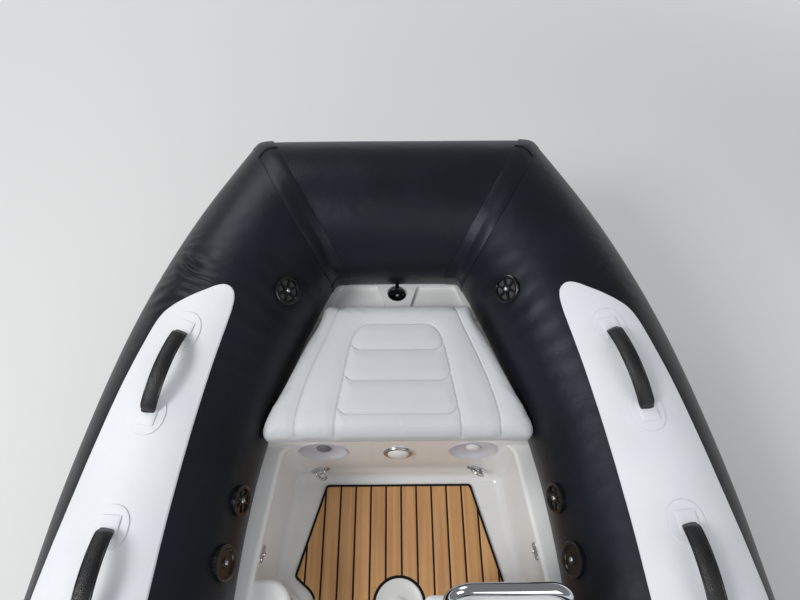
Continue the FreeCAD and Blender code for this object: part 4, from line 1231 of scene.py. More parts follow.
@dataclass
class Handles(Assembly):
    """Padded grab handles over the crown of the tubes, with their webbing tabs and oval patches."""

    path: TubePath
    starts: tuple = (0.943, 0.487)
    length: float = 0.197
    rise: float = 0.040
    lean: float = 13.0
    width: float = 0.031
    thickness: float = 0.011
    base_lift: float = 0.0043
    patch_length: float = 0.100
    patch_width: float = 0.076
    patch_lift: float = 0.0030
    tab_half: float = 0.0200

    def arc(self, start: float) -> tuple[Array, Array, Array, Array]:
        """Path of one grip: the circle through both feet and a top point, leaning a little inboard.

        Args:
            start: The aft foot's distance along the boat.

        Returns:
            Points, outward normals, the direction across the grip and how far each point is from an end.
        """
        feet = self.path.run_at(np.array([start, start + self.length]))
        ends = self.path.skin(feet, np.full(2, math.pi / 2), self.base_lift + 0.001)
        along = unit(ends[1] - ends[0])
        up = unit(self.path.out(feet[0], math.pi / 2) + self.path.out(feet[1], math.pi / 2))
        lean = math.radians(self.lean)
        up = unit(up * math.cos(lean) - np.cross(up, along) * math.sin(lean))
        half = np.linalg.norm(ends[1] - ends[0]) / 2
        radius = (half ** 2 + self.rise ** 2) / (2 * self.rise)
        centre = (ends[0] + ends[1]) / 2 + up * (self.rise - radius)
        reach = math.asin(half / radius)
        angle = np.linspace(-reach, reach, 90)
        normal = np.sin(angle)[:, None] * along + np.cos(angle)[:, None] * up
        t = np.linspace(0, 1, len(angle))
        fullness = smoothstep(t, 0.0, 0.10) * smoothstep(1 - t, 0.0, 0.10)
        return centre + normal * radius, normal, unit(np.cross(up, along)), fullness

    def grip(self, start: float) -> tuple[Mesh, Mesh]:
        """One grip: rounded sections carried along its arc, thinner at both ends, and its piping.

        Args:
            start: The aft foot's distance along the boat.

        Returns:
            The pebbled pad and its two lines of piping.
        """
        steps = 40
        points, normal, across, fullness = self.arc(start)
        half_width = self.width / 2 * (0.90 + 0.10 * fullness)
        half_thick = self.thickness / 2 * (0.30 + 0.70 * fullness)
        angle = turn_angles(steps)
        wide = signed_power(np.cos(angle), 0.55)
        deep = signed_power(np.sin(angle), 0.75) * (1 - 0.50 * np.abs(wide) ** 1.5)
        lifted = points + normal * (half_thick[:, None] + 0.0006)
        rows = (
            lifted[:, None, :]
            + across * (half_width[:, None] * wide[None, :])[..., None]
            + normal[:, None, :] * (half_thick[:, None] * deep[None, :])[..., None]
        )
        aft, fore = (np.repeat(end[:, None, :], steps, axis=1) for end in (lifted[:1], lifted[-1:]))
        pad = ring_mesh("pad", np.concatenate([aft, rows, fore]))
        pipes = []
        inner = slice(4, -4)
        for sign in (-1, 1):
            line = lifted + across * (sign * (half_width[:, None] - 0.0006))
            pipes.append(tube_mesh("pipe", line[inner], 0.0024 * (0.6 + 0.4 * fullness[inner]), 12))
        return pad, joined("pipes", pipes)

    def patch(self, x: float) -> Mesh:
        """An oval of fabric on the crown: rings from its middle out, each point laid on the skin.

        Args:
            x: The patch's middle, along the boat.

        Returns:
            The patch, closed underneath.
        """
        steps = 72
        run = self.path.run_at(x)
        share = np.array([0, 0.2, 0.4, 0.6, 0.8, 0.93, 0.98, 1.0, 1.0])
        height = self.patch_lift * np.array([1, 1, 1, 1, 1, 1, 0.92, 0.2, -0.6])
        angle = turn_angles(steps)
        long_way = signed_power(np.cos(angle), 0.9) * self.patch_length / 2
        short_way = signed_power(np.sin(angle), 0.9) * self.patch_width / 2
        runs = run + share[:, None] * long_way[None, :]
        around = math.pi / 2 + share[:, None] * short_way[None, :] / self.path.radius
        top = self.path.skin(runs, around, 0.0018 + np.broadcast_to(height[:, None], runs.shape))
        floor = self.path.skin(np.full((1, steps), run), np.full((1, steps), math.pi / 2), -0.001)
        points = np.concatenate([top, floor])
        return ring_mesh("patch", points)

    def tab(self, x: float, inward: float) -> Mesh:
        """Flat webbing from the patch's middle in under the end of the grip, arched over its length.

        Args:
            x: The grip's foot, along the boat.
            inward: 1 where the grip lies ahead of its foot, -1 where it lies behind.

        Returns:
            The tab as a closed slab.
        """
        steps = 24
        along = np.linspace(-0.029, 0.020, steps) * inward
        across = np.array([-1, -0.95, -0.8, -0.4, 0, 0.4, 0.8, 0.95, 1]) * self.tab_half
        runs, sideways = np.meshgrid(self.path.run_at(x) + along, across, indexing="ij")
        edge = 1 - np.abs(sideways / self.tab_half) ** 8 * 0.6
        height = 0.0062 + 0.0030 * np.sin(np.linspace(0.35, 2.8, steps))[:, None] * edge
        around = math.pi / 2 + sideways / self.path.radius
        return slab_mesh("tab", self.path.skin(runs, around, height), self.path.skin(runs, around, 0.0030))

    def build(self) -> None:
        """Makes all four handles: the port ones, and their mirror images."""
        pads, pipes, patches, tabs = [], [], [], []
        for start in self.starts:
            pad, piping = self.grip(start)
            pads.append(pad)
            pipes.append(piping)
            for x, inward in ((start, 1.0), (start + self.length, -1.0)):
                patches.append(self.patch(x - 0.003 * inward))
                tabs.append(self.tab(x, inward))
        for meshes, name, finish, nodes in (
            (pads, "handle_pads", "black_grip", ("handle_grips",)),
            (pipes, "handle_piping", "grip_piping", ()),
            (patches, "handle_ovals", "white_tube_fabric", ("handle_patches",)),
            (tabs, "handle_tabs", "white_tube_fabric", ()),
        ):
            port = joined(name, meshes)
            starboard = port.copy()
            flip_mesh(starboard)
            self.shop.piece(joined(name, [port, starboard]), finish, replaces=nodes, sharp=60)


def flip_mesh(mesh: Mesh) -> None:
    """Mirrors a mesh across the centre plane and turns its faces outwards again.

    Args:
        mesh: The mesh to change.
    """
    count = len(mesh.vertices)
    points = np.empty(count * 3)
    mesh.vertices.foreach_get("co", points)
    mesh.vertices.foreach_set("co", mirrored(points.reshape(-1, 3)).ravel())
    mesh.flip_normals()
    mesh.update()


@dataclass(frozen=True)
class Seat:
    """Where one valve sits, which way it looks and whether its star is open to view."""

    place: Array
    out: Array
    size: float
    star: bool = True
    sink: float = 0.012


@dataclass
class Valves(Assembly):
    """Inflation valves: a ribbed ring round a six-spoked star with a bright dome in its middle."""

    path: TubePath
    rise: float = 0.0095
    rows: tuple = (
        # x of the tube's centre line, angle above inboard level, radius, whether it shows its star
        (1.335, 41.0, 0.0360, True),
        (0.801, 15.0, 0.0345, True),
        (0.649, 19.0, 0.0375, False),
    )
    bow_place: tuple = (1.388, 0.0, 0.502)
    bow_rise: float = 18.0
    bow_radius: float = 0.0265
    bow_sink: float = 0.056
    shares: tuple = (
        # radius of each ring of points, as a share of the valve's own
        0, 0.12, 0.2, 0.26, 0.3, 0.36, 0.44, 0.52, 0.6, 0.66, 0.7, 0.74, 0.78, 0.84, 0.9, 0.95, 0.985,
        1.0, 1.0,
    )
    # A grey disc under the spokes, which paints the sheen seen in the star's cells.
    cells: tuple = (
        # share of the valve's radius, height
        (0.0, 0.0024), (0.76, 0.0024), (0.76, 0.0004), (0.0, 0.0004),
    )
    dome: tuple = (
        # radius, height
        (0.0, 0.0122), (0.0024, 0.0118), (0.0044, 0.0106), (0.0055, 0.0088), (0.0057, 0.003), (0.0, 0.003),
    )

    def cap(self, seat: Seat) -> Mesh:
        """One cap as a height over a disc: a ring, then a dish crossed by six tapered spokes.

        Args:
            seat: The valve's place and kind.

        Returns:
            The cap, closed underneath.
        """
        steps, size = 144, seat.size
        first, second = basis(seat.out)
        r, a = np.meshgrid(size * np.array(self.shares), turn_angles(steps), indexing="ij")
        ring = smoothstep(r, size * 0.68, size * 0.78)
        spoke = np.abs((a / (math.pi / 3)) % 1.0 - 0.5) * (math.pi / 3) * r
        taper = 0.05 * (size * 0.7 - r).clip(0)
        arm = 1 - smoothstep(spoke, 0.0025 + taper, 0.0036 + taper)
        hub = 1 - smoothstep(r, size * 0.24, size * 0.34)
        pattern = np.maximum(arm * 0.9, hub) if seat.star else np.maximum(hub, 0.55)
        height = self.rise * (0.12 + 0.88 * np.maximum(ring, pattern * 0.85))
        height = height - 0.0016 * smoothstep(r, size * 0.93, size * 1.0)
        height[-1] = -seat.sink
        notch = 0.0006 * np.sin(a * 36) * smoothstep(r, size * 0.9, size) * (not seat.star)
        ways = np.cos(a)[..., None] * first + np.sin(a)[..., None] * second
        points = seat.place + seat.out * height[..., None] + (r + notch)[..., None] * ways
        bottom = np.repeat((seat.place - seat.out * seat.sink)[None, None, :], steps, axis=1)
        points = np.concatenate([points, bottom])
        return ring_mesh("valve", points)

    def seats(self) -> list[Seat]:
        """Seats of the valves on both tubes, and of the one on the bow tube.

        Returns:
            The seats, each port one before its mirror image.
        """
        seats = []
        for x, degrees, size, star in self.rows:
            run, angle = self.path.run_at(x), math.radians(degrees)
            place = self.path.skin(np.array([run]), np.array([angle]))[0]
            out = self.path.out(run, angle)
            seats += [Seat(place, out, size, star), Seat(mirrored(place), mirrored(out), size, star)]
        rise = math.radians(self.bow_rise)
        out = np.array([-math.cos(rise), 0.0, math.sin(rise)])
        return [*seats, Seat(np.array(self.bow_place), out, self.bow_radius, sink=self.bow_sink)]

    def build(self) -> None:
        """Makes the caps, grey discs in the cells between their spokes that paint their sheen, and the domes.
        """
        seats = self.seats()
        caps = [self.cap(seat) for seat in seats]
        self.shop.piece(joined("valve_caps", caps), "valve_plastic", replaces=("valves",), sharp=40)
        cells = []
        for seat in seats:
            if seat.star:
                profile = [(share * seat.size, height) for share, height in self.cells]
                cells.append(turned_mesh("cells", profile, seat.place, seat.out, 48))
        self.shop.piece(joined("valve_cells_painted_sheen", cells), "valve_cells_painted_sheen", sharp=40)
        domes = [turned_mesh("dome", self.dome, seat.place, seat.out, 28) for seat in seats]
        self.shop.piece(joined("valve_domes", domes), "satin_steel")


# Soft goods


@dataclass
class PadForm:
    """A stuffed form: a closed start shape, swelled as cloth under pressure and given its seams."""

    name: str
    voxel: float = 0.005
    pressure: float = 4.0
    swell_cap: float = 0.006
    frames: int = 20

    def swell(self, mesh: Mesh) -> Mesh:
        """Remeshes, blows up as cloth and caps how far each point may move.

        Args:
            mesh: The start shape, closed.

        Returns:
            The swelled mesh.
        """
        item = placed(self.name, mesh)
        scene = bpy.context.scene
        remesh = item.modifiers.new("remesh", "REMESH")
        remesh.mode = "VOXEL"
        remesh.voxel_size = self.voxel
        even = self.baked(item)
        start = mesh_points(even)
        item.modifiers.clear()
        item.data = even
        cloth = item.modifiers.new("cloth", "CLOTH")
        settings = cloth.settings
        settings.use_pressure = True
        settings.uniform_pressure_force = self.pressure
        settings.effector_weights.gravity = 0.0
        settings.tension_stiffness = 25
        settings.compression_stiffness = 25
        settings.quality = 5
        cloth.point_cache.frame_start = 1
        cloth.point_cache.frame_end = self.frames
        for number in range(1, self.frames + 1):
            scene.frame_set(number)
        swelled = self.baked(item)
        scene.frame_set(1)
        points = mesh_points(swelled)
        move = points - start
        length = np.linalg.norm(move, axis=1, keepdims=True)
        capped = self.swell_cap * np.tanh(length / self.swell_cap)
        points = start + move * capped / np.maximum(length, 1e-9)
        set_points(swelled, points)
        scene.collection.objects.unlink(item)
        return swelled

    def sewn(self, mesh: Mesh, points: Array) -> Mesh:
        """The mesh with its seamed points, its name and smooth faces.

        Args:
            mesh: The swelled mesh.
            points: Its points, with the seams pressed in.

        Returns:
            The same mesh, done.
        """
        set_points(mesh, points)
        mesh.name = self.name
        for polygon in mesh.polygons:
            polygon.use_smooth = True
        return mesh

    @staticmethod
    def baked(item: bpy.types.Object) -> Mesh:
        """A copy of an object's mesh with its modifiers applied."""
        graph = bpy.context.evaluated_depsgraph_get()
        graph.update()
        return bpy.data.meshes.new_from_object(item.evaluated_get(graph))

    @staticmethod
    def refined(mesh: Mesh) -> Mesh:
        """A copy of a mesh, subdivided once.

        Args:
            mesh: The mesh.

        Returns:
            The finer copy.
        """
        item = placed("refine", mesh)
        modifier = item.modifiers.new("subdivision", "SUBSURF")
        modifier.levels = 1
        modifier.render_levels = 1
        finer = PadForm.baked(item)
        bpy.context.scene.collection.objects.unlink(item)
        return finer


def mesh_points(mesh: Mesh) -> Array:
    """A mesh's points as an array of rows."""
    points = np.empty(len(mesh.vertices) * 3, np.float32)
    mesh.vertices.foreach_get("co", points)
    return points.reshape(-1, 3).astype(float)


def mesh_normals(mesh: Mesh) -> Array:
    """A mesh's point normals as an array of rows."""
    normals = np.empty(len(mesh.vertices) * 3, np.float32)
    mesh.vertex_normals.foreach_get("vector", normals)
    return normals.reshape(-1, 3).astype(float)


def set_points(mesh: Mesh, points: Array) -> None:
    """Writes an array of rows back as a mesh's points."""
    mesh.vertices.foreach_set("co", points.astype(np.float32).ravel())
    mesh.update()


def nearest_on_lines(points: Array, lines: Sequence[Array]) -> tuple[Array, Array]:
    """The nearest spot on some polylines to each plan point (x, y).

    Args:
        points: Rows of x and y.
        lines: The polylines, each as rows of x and y.

    Returns:
        The distances and the nearest spots.
    """
    nearest = np.full(len(points), 9.0)
    spots = points.copy()
    for line in lines:
        for start, end in zip(line[:-1], line[1:]):
            span = end - start
            t = np.clip(((points - start) @ span) / (span @ span), 0, 1)
            spot = start + t[:, None] * span
            gap = np.linalg.norm(points - spot, axis=1)
            closer = gap < nearest
            nearest = np.where(closer, gap, nearest)
            spots = np.where(closer[:, None], spot, spots)
    return nearest, spots


def rounded_outline(corners: Sequence[tuple[float, float, float]], steps: int = 8) -> Array:
    """Points round a plan outline of (x, y, corner radius) rows: an arc of steps at each corner.

    Args:
        corners: Rows of x, y and corner radius.
        steps: Points of each arc.

    Returns:
        Rows of x and y.
    """
    spots = [np.array(corner[:2]) for corner in corners]
    points = []
    for number, spot in enumerate(spots):
        back = unit(spots[number - 1] - spot)
        ahead = unit(spots[(number + 1) % len(spots)] - spot)
        half = math.acos(float(np.clip(back @ ahead, -1, 1))) / 2
        radius = corners[number][2]
        centre = spot + unit(back + ahead) * radius / math.sin(half)
        first = spot + back * radius / math.tan(half) - centre
        last = spot + ahead * radius / math.tan(half) - centre
        t = np.linspace(0, 1, steps)[:, None]
        arc = unit(first * (1 - t) + last * t) * radius
        points.append(centre + arc)
    return np.concatenate(points)


def stacked(name: str, outlines: Sequence[tuple[float, Array]]) -> Mesh:
    """A closed form from outlines at heights, with its top and bottom drawn in to their middles.

    Args:
        name: Its name.
        outlines: Pairs of a height and an outline.

    Returns:
        The form.
    """
    rows = []
    for height, outline in outlines:
        rows.append(np.column_stack([outline, np.full(len(outline), height)]))
    for end, where in ((rows[0], 0), (rows[-1], len(rows) + 1)):
        middle = end.mean(axis=0)
        rows.insert(where, np.repeat(middle[None], len(end), axis=0))
    grid = np.array(rows)
    return ring_mesh(name, grid)


@dataclass
class BowCushion(Assembly):
    """The grey cushion on the bow locker's lid: rolled aft edge, ladder of sewn channels."""

    low: float = 0.5343
    rows: tuple = (
        # height, inset of the aft edge, of the sides, of the front edge, corner radius
        (0.0000, 0.008, 0.008, 0.026, 0.014),
        (0.0060, 0.004, 0.003, 0.025, 0.015),
        (0.0140, 0.002, 0.002, 0.020, 0.016),
        (0.0260, 0.002, 0.001, 0.006, 0.017),
        (0.0400, 0.005, 0.002, 0.003, 0.019),
        (0.0500, 0.012, 0.005, 0.003, 0.022),
        (0.0570, 0.023, 0.009, 0.005, 0.026),
        (0.0610, 0.036, 0.014, 0.009, 0.030),
        (0.0640, 0.056, 0.024, 0.016, 0.036),
    )
    aft_x: float = 0.911
    front_x: float = 1.295
    aft_half: float = 0.341
    front_half: float = 0.207
    seam_depth: float = 0.0046
    seam_half: float = 0.0027
    seam_pull: float = 0.0024
    seam_drop: float = 0.0015
    crown_rise: float = 0.0034
    crown_reach: float = 0.016
    front_corner: float = 0.016
    side_room: float = 0.0075
    side_spot: tuple = (1.232, 0.583)
    side_reach: tuple = (0.046, 0.020)
    ladder: tuple = (
        # x, half width of the sewn ladder
        (1.2241, 0.0780), (1.2215, 0.0880), (1.2130, 0.1000), (1.2000, 0.1095), (1.1806, 0.1173),
        (1.1510, 0.1246), (1.0977, 0.1332), (1.0580, 0.1381), (1.0020, 0.1472), (0.9680, 0.1519),
        (0.9295, 0.1548), (0.9000, 0.1555),
    )
    border: tuple = (
        # x, half width of the outer seams
        (1.3000, 0.1510), (1.2872, 0.1545), (1.2290, 0.1735), (1.1789, 0.1905), (1.1200, 0.2100),
        (1.0650, 0.2270), (1.0100, 0.2405), (0.9600, 0.2485), (0.9250, 0.2503), (0.9000, 0.2503),
    )
    rungs: tuple = (
        # x, half length of the straight part, reach of its curved ends along and across
        (1.1469, 0.0890, 0.0240, 0.0310),
        (1.0594, 0.1070, 0.0240, 0.0275),
        (0.9699, 0.1220, 0.0260, 0.0265),
    )

    def outline(self, aft: float, side: float, front: float, corner: float) -> Array:
        """The plan outline drawn in by an inset at its aft edge, sides and front edge.

        Args:
            aft: Inset of the aft edge.
            side: Of the sides.
            front: Of the front.
            corner: Radius of the corners.

        Returns:
            Rows of x and y.
        """
        port = [
            (self.aft_x + aft, self.aft_half - side, corner),
            (self.front_x - front, self.front_half - side, min(corner, self.front_corner)),
        ]
        return rounded_outline(port + [(x, -y, r) for x, y, r in reversed(port)])

    def seams(self) -> list[Array]:
        """The sewn lines in plan: two outer seams, the ladder's sides and top, and its curved rungs.

        Returns:
            The lines, each as rows of x and y.
        """
        lines = [np.array([(self.ladder[0][0], -self.ladder[0][1]), self.ladder[0]])]
        for side in (1, -1):
            flip = np.array([1, side])
            lines += [np.array(self.ladder) * flip, np.array(self.border) * flip]
        turn = np.linspace(0, math.pi / 2, 7)
        for x, half, along, across in self.rungs:
            port = np.column_stack([x + along * (1 - np.cos(turn)), half + across * np.sin(turn)])
            lines.append(np.concatenate([port[::-1], port * np.array([1, -1])]))
        return lines

    def build(self) -> None:
        """Makes the cushion: swelled, then drawn in to its seams and lifted between them."""
        outlines = [(self.low + height, self.outline(*insets)) for height, *insets in self.rows]
        form = PadForm("bow_cushion_soft")
        mesh = form.refined(form.swell(stacked("cushion_start", outlines)))
        points, normals = mesh_points(mesh), mesh_normals(mesh)
        top = smoothstep(normals[:, 2], 0.05, 0.35)
        gap, spots = nearest_on_lines(points[:, :2], self.seams())
        pull = 1 - np.sqrt(np.clip(gap / self.seam_pull, 0, 1))
        points[:, :2] += (spots - points[:, :2]) * (pull * (top > 0.2))[:, None]
        gap = gap * (1 - pull)
        groove = np.clip(1 - gap / self.seam_half, 0, 1)
        crown = self.crown_rise * (1 - np.exp(-((gap / self.crown_reach) ** 2)))
        height = top * (crown - self.seam_depth * groove - self.seam_drop)
        points = points + normals * height[:, None]
        points[:, 1] -= np.sign(points[:, 1]) * self.squeeze(points)
        points[:, 2] = np.maximum(points[:, 2], self.low)
        item = self.shop.piece(form.sewn(mesh, points), "grey_vinyl", Body.LID, ("bow_cushion",))

    def squeeze(self, points: Array) -> Array:
        """How far the sides are drawn in, where the open lid would press them into the collar.

        Args:
            points: The cushion's points.

        Returns:
            A distance for each point: a bell round one spot, in x and in z.
        """
        x, z = self.side_spot
        along, up = self.side_reach
        tight = np.exp(-((points[:, 0] - x) / along) ** 2 - ((points[:, 2] - z) / up) ** 2)
        return self.side_room * (tight * smoothstep(np.abs(points[:, 1]), 0.150, 0.205))


@dataclass
class HelmSeat(Assembly):
    """The helm seat's cushion and backrest, each a swelled pad with a sewn border."""

    aft_x: float = -0.690
    front_x: float = -0.290
    half: float = 0.225
    base_top: float = 0.470
    cushion_height: float = 0.080
    back_height: float = 0.330
    back_thickness: float = 0.075
    corner: float = 0.022
    line_y: float = 0.063
    far: float = 0.05

    def pad(self, name: str, low: Array, high: Array, edge: float, seams: Callable[[Array], Array]) -> Mesh:
        """A rounded block swelled as cloth, with a groove where the distance to its seams is zero.

        Args:
            name: The pad's name.
            low: The block's lowest corner.
            high: The block's highest corner.
            edge: How far its top and bottom are drawn in.
            seams: Distance of points to the nearest seam.

        Returns:
            The finished pad.
        """
        shares = np.array([0, 0.12, 0.35, 0.65, 0.88, 1.0])
        insets = edge * np.array([1.0, 0.35, 0.0, 0.0, 0.35, 1.0]) + 0.004
        outlines = []
        for share, inset in zip(shares, insets):
            x0, x1, y = low[0] + inset, high[0] - inset, high[1] - inset
            corners = [(px, py, self.corner) for px, py in ((x0, y), (x1, y), (x1, -y), (x0, -y))]
            outlines.append((low[2] + 0.003 + share * (high[2] - low[2] - 0.006), rounded_outline(corners)))
        form = PadForm(name, voxel=0.006)
        mesh = form.refined(form.swell(stacked(name + "_start", outlines)))
        points, normals = mesh_points(mesh), mesh_normals(mesh)
        gap = seams(points)
        height = 0.003 * (1 - np.exp(-((gap / 0.02) ** 2))) - 0.0045 * np.exp(-((gap / 0.0035) ** 2))
        return form.sewn(mesh, points + normals * height[:, None] * 0.8)

    def seam_gap(self, points: Array, depth: Array) -> Array:
        """Distance to a sewn border and to the two straight lines inside it.

        Args:
            points: The pad's points.
            depth: How far each one lies inside the border's ends.

        Returns:
            The distances, which stay at far where a seam doesn't reach.
        """
        side = self.half - np.abs(points[:, 1]) - 0.035
        long_seams = np.where(depth > 0, np.abs(side), self.far)
        short_seams = np.where(side > 0, np.abs(depth), self.far)
        lines = np.where((depth > 0) & (side > 0), np.abs(np.abs(points[:, 1]) - self.line_y), self.far)
        return np.minimum(np.minimum(long_seams, short_seams), lines)

    def build(self) -> None:
        """Makes both pads."""
        base = self.base_top + 0.0003
        seat_low = np.array([self.aft_x + self.back_thickness + 0.002, -self.half, base])
        seat_high = np.array([self.front_x, self.half, self.base_top + self.cushion_height])
        back_low = np.array([self.aft_x, -self.half, base])
        back_high = np.array([self.aft_x + self.back_thickness, self.half, self.base_top + self.back_height])

        def seat_seams(points: Array) -> Array:
            """Distance to the seams, on the seat's top only."""
            depth = np.minimum(points[:, 0] - seat_low[0], seat_high[0] - points[:, 0]) - 0.035
            return np.where(points[:, 2] > self.base_top + 0.05, self.seam_gap(points, depth), self.far)

        def back_seams(points: Array) -> Array:
            """Distance to the seams, on the backrest's front only."""
            depth = np.minimum(points[:, 2] - back_low[2], back_high[2] - points[:, 2]) - 0.04
            return np.where(points[:, 0] > back_low[0] + 0.045, self.seam_gap(points, depth), self.far)

        seat = self.pad("helm_cushion", seat_low, seat_high, 0.016, seat_seams)
        seat = self.shop.piece(seat, "grey_vinyl", replaces=("seat_cushion",))
        back = self.pad("helm_backrest", back_low, back_high, 0.020, back_seams)
        back = self.shop.piece(back, "grey_vinyl", replaces=("seat_back",))
        self.shop.paints.dress("white_gelcoat", "seat_base")


# Deck


@dataclass
class TeakDeck(Assembly):
    """Teak planks on their black bedding: strips between caulk lines, cut to the pad's outline."""

    top: float = 0.196
    pitch: float = PLANK_PITCH
    phase: float = PLANK_PHASE
    caulk: float = 0.0050
    border: float = 0.0064
    plank_rise: float = 0.0010
    well_x: float = 0.597
    well_radius: float = 0.069
    well_gap: float = 0.0025
    well_ring: tuple = (
        # radius, height
        (0.0640, 0.004), (0.0640, 0.0088), (0.0648, 0.0096), (0.0672, 0.0096), (0.0686, 0.0086),
        (0.0688, 0.002), (0.0640, 0.002), (0.0640, 0.004),
    )
    well_dish: tuple = (
        # radius, height, from the knob in its middle to its rim
        (0.0, 0.0098), (0.006, 0.0097), (0.0095, 0.0090), (0.0105, 0.0076), (0.0150, 0.0070),
        (0.0168, 0.0060), (0.0176, 0.0044), (0.0300, 0.0040), (0.0400, 0.0042), (0.0500, 0.0056),
        (0.0570, 0.0078), (0.0615, 0.0092), (0.0636, 0.0088), (0.0638, 0.0020), (0.0, 0.0020),
    )
    console: tuple = (0.250, 0.568, -0.084)
    rows: tuple = (
        # x, y, corner radius, round from the port side of the aft edge
        (-0.290, 0.226, 0.002),
        (0.617, 0.226, 0.060),
        (0.666, 0.286, 0.014),
        (0.914, 0.213, 0.012),
        (0.914, -0.213, 0.012),
        (0.641, -0.287, 0.150),
        (-0.290, -0.300, 0.002),
    )

    def inner_outline(self) -> Array:
        """The pad's outline moved in by the border: each point goes along the outline's inward normal.

        Returns:
            Rows of x and y.
        """
        outline = rounded_outline(self.rows, 24)
        along = unit(np.roll(outline, -1, axis=0) - np.roll(outline, 1, axis=0))
        return outline + np.column_stack([along[:, 1], -along[:, 0]]) * self.border

    @staticmethod
    def ends(y: Array, outline: Array) -> tuple[Array, Array]:
        """The first and last x at which lines of constant y cross an outline.

        Args:
            y: The lines.
            outline: Rows of x and y.

        Returns:
            First and last x of each line.
        """
        start, end = outline, np.roll(outline, -1, axis=0)
        low, high = np.minimum(start[:, 1], end[:, 1]), np.maximum(start[:, 1], end[:, 1])
        hit = (low[None] <= y[:, None]) & (y[:, None] < high[None])
        rise = np.where(start[:, 1] == end[:, 1], 1.0, end[:, 1] - start[:, 1])
        x = start[None, :, 0] + (y[:, None] - start[None, :, 1]) / rise[None] * (end - start)[None, :, 0]
        return np.where(hit, x, 9.0).min(axis=1), np.where(hit, x, -9.0).max(axis=1)

    def spans(self, y: Array, outline: Array) -> list[tuple[Array, Array]]:
        """Runs of wood along a strip, broken by the console and by the round fitting.

        Args:
            y: Samples across the strip.
            outline: The wood's outline.

        Returns:
            First and last x of each run, for each sample.
        """
        aft, front = self.ends(y, outline)
        middle = float(y.mean())
        back, ahead, side = self.console
        if middle < side + self.border:
            return [(aft, np.full(len(y), back - self.border)), (np.full(len(y), ahead + self.border), front)]
        reach = self.well_radius + self.well_gap
        if abs(middle) < reach:
            half = np.sqrt(np.clip(reach ** 2 - y ** 2, 0, None))
            return [(aft, self.well_x - half), (self.well_x + half, front)]
        return [(aft, front)]

    def strip(self, y: Array, span: tuple[Array, Array], plank: tuple[float, float], outline: Array) -> Mesh:
        """One run of wood as a closed slab, its top edges eased towards caulk and border.

        Args:
            y: Samples across the strip.
            span: First and last x for each sample.
            plank: Lowest and highest y of the plank it belongs to.
            outline: The wood's outline.

        Returns:
            The slab.
        """
        first, last = span
        x = first[None, :] + eased(56)[:, None] * (last - first)[None, :]
        yy = np.broadcast_to(y[None, :], x.shape)
        spots = np.column_stack([x.ravel(), yy.ravel()])
        gap = nearest_on_lines(spots, [np.concatenate([outline, outline[:1]])])[0].reshape(x.shape)
        gap = np.minimum(gap, np.minimum(yy - plank[0], plank[1] - yy))
        gap = np.minimum(gap, np.abs(np.hypot(x - self.well_x, yy) - self.well_radius - self.well_gap))
        z = self.top + self.plank_rise * (0.1 + 0.9 * smoothstep(gap, -0.0002, 0.0012))
        top = np.stack([x, yy, z], axis=-1)
        bottom = np.stack([x, yy, np.full(x.shape, self.top - 0.001)], axis=-1)
        return slab_mesh("plank", top, bottom)

    def build(self) -> None:
        """Lays the planks over the black pad, cut lengthwise where console and fitting begin."""
        self.shop.paints.dress("caulk", "teak_pad")
        outline = self.inner_outline()
        reach = self.well_radius + self.well_gap
        cuts = [self.rows[0][1] - self.border - 1e-5, self.console[2] + self.border, reach, -reach]
        parts = []
        for number in range(-8, 8):
            low = self.phase + number * self.pitch + self.caulk / 2
            high = low + self.pitch - self.caulk
            low, high = max(low, outline[:, 1].min() + 1e-4), min(high, outline[:, 1].max() - 1e-4)
            stops = [low, *sorted(cut for cut in cuts if low < cut < high), high]
            for start, end in zip(stops[:-1], stops[1:]):
                if end - start < 0.0015:
                    continue
                y = start + (end - start) * eased(15)
                for first, last in self.spans(y, outline):
                    if (last - first).max() > 0.004:
                        parts.append(self.strip(y, (first, np.maximum(first, last)), (low, high), outline))
        self.shop.piece(joined("teak_planks", parts), "teak_planks", sharp=60)
        self.build_well()

    def build_well(self) -> None:
        """The round fitting: a black ring round a white dish with a stepped knob."""
        centre = np.array([self.well_x, 0.0, 0.190])
        ring = turned_mesh("well_ring", self.well_ring, centre, UP, 96)
        self.shop.piece(ring, "caulk", replaces=("deck_well",))
        self.shop.piece(turned_mesh("well_dish", self.well_dish, centre, UP, 96), "white_plastic")


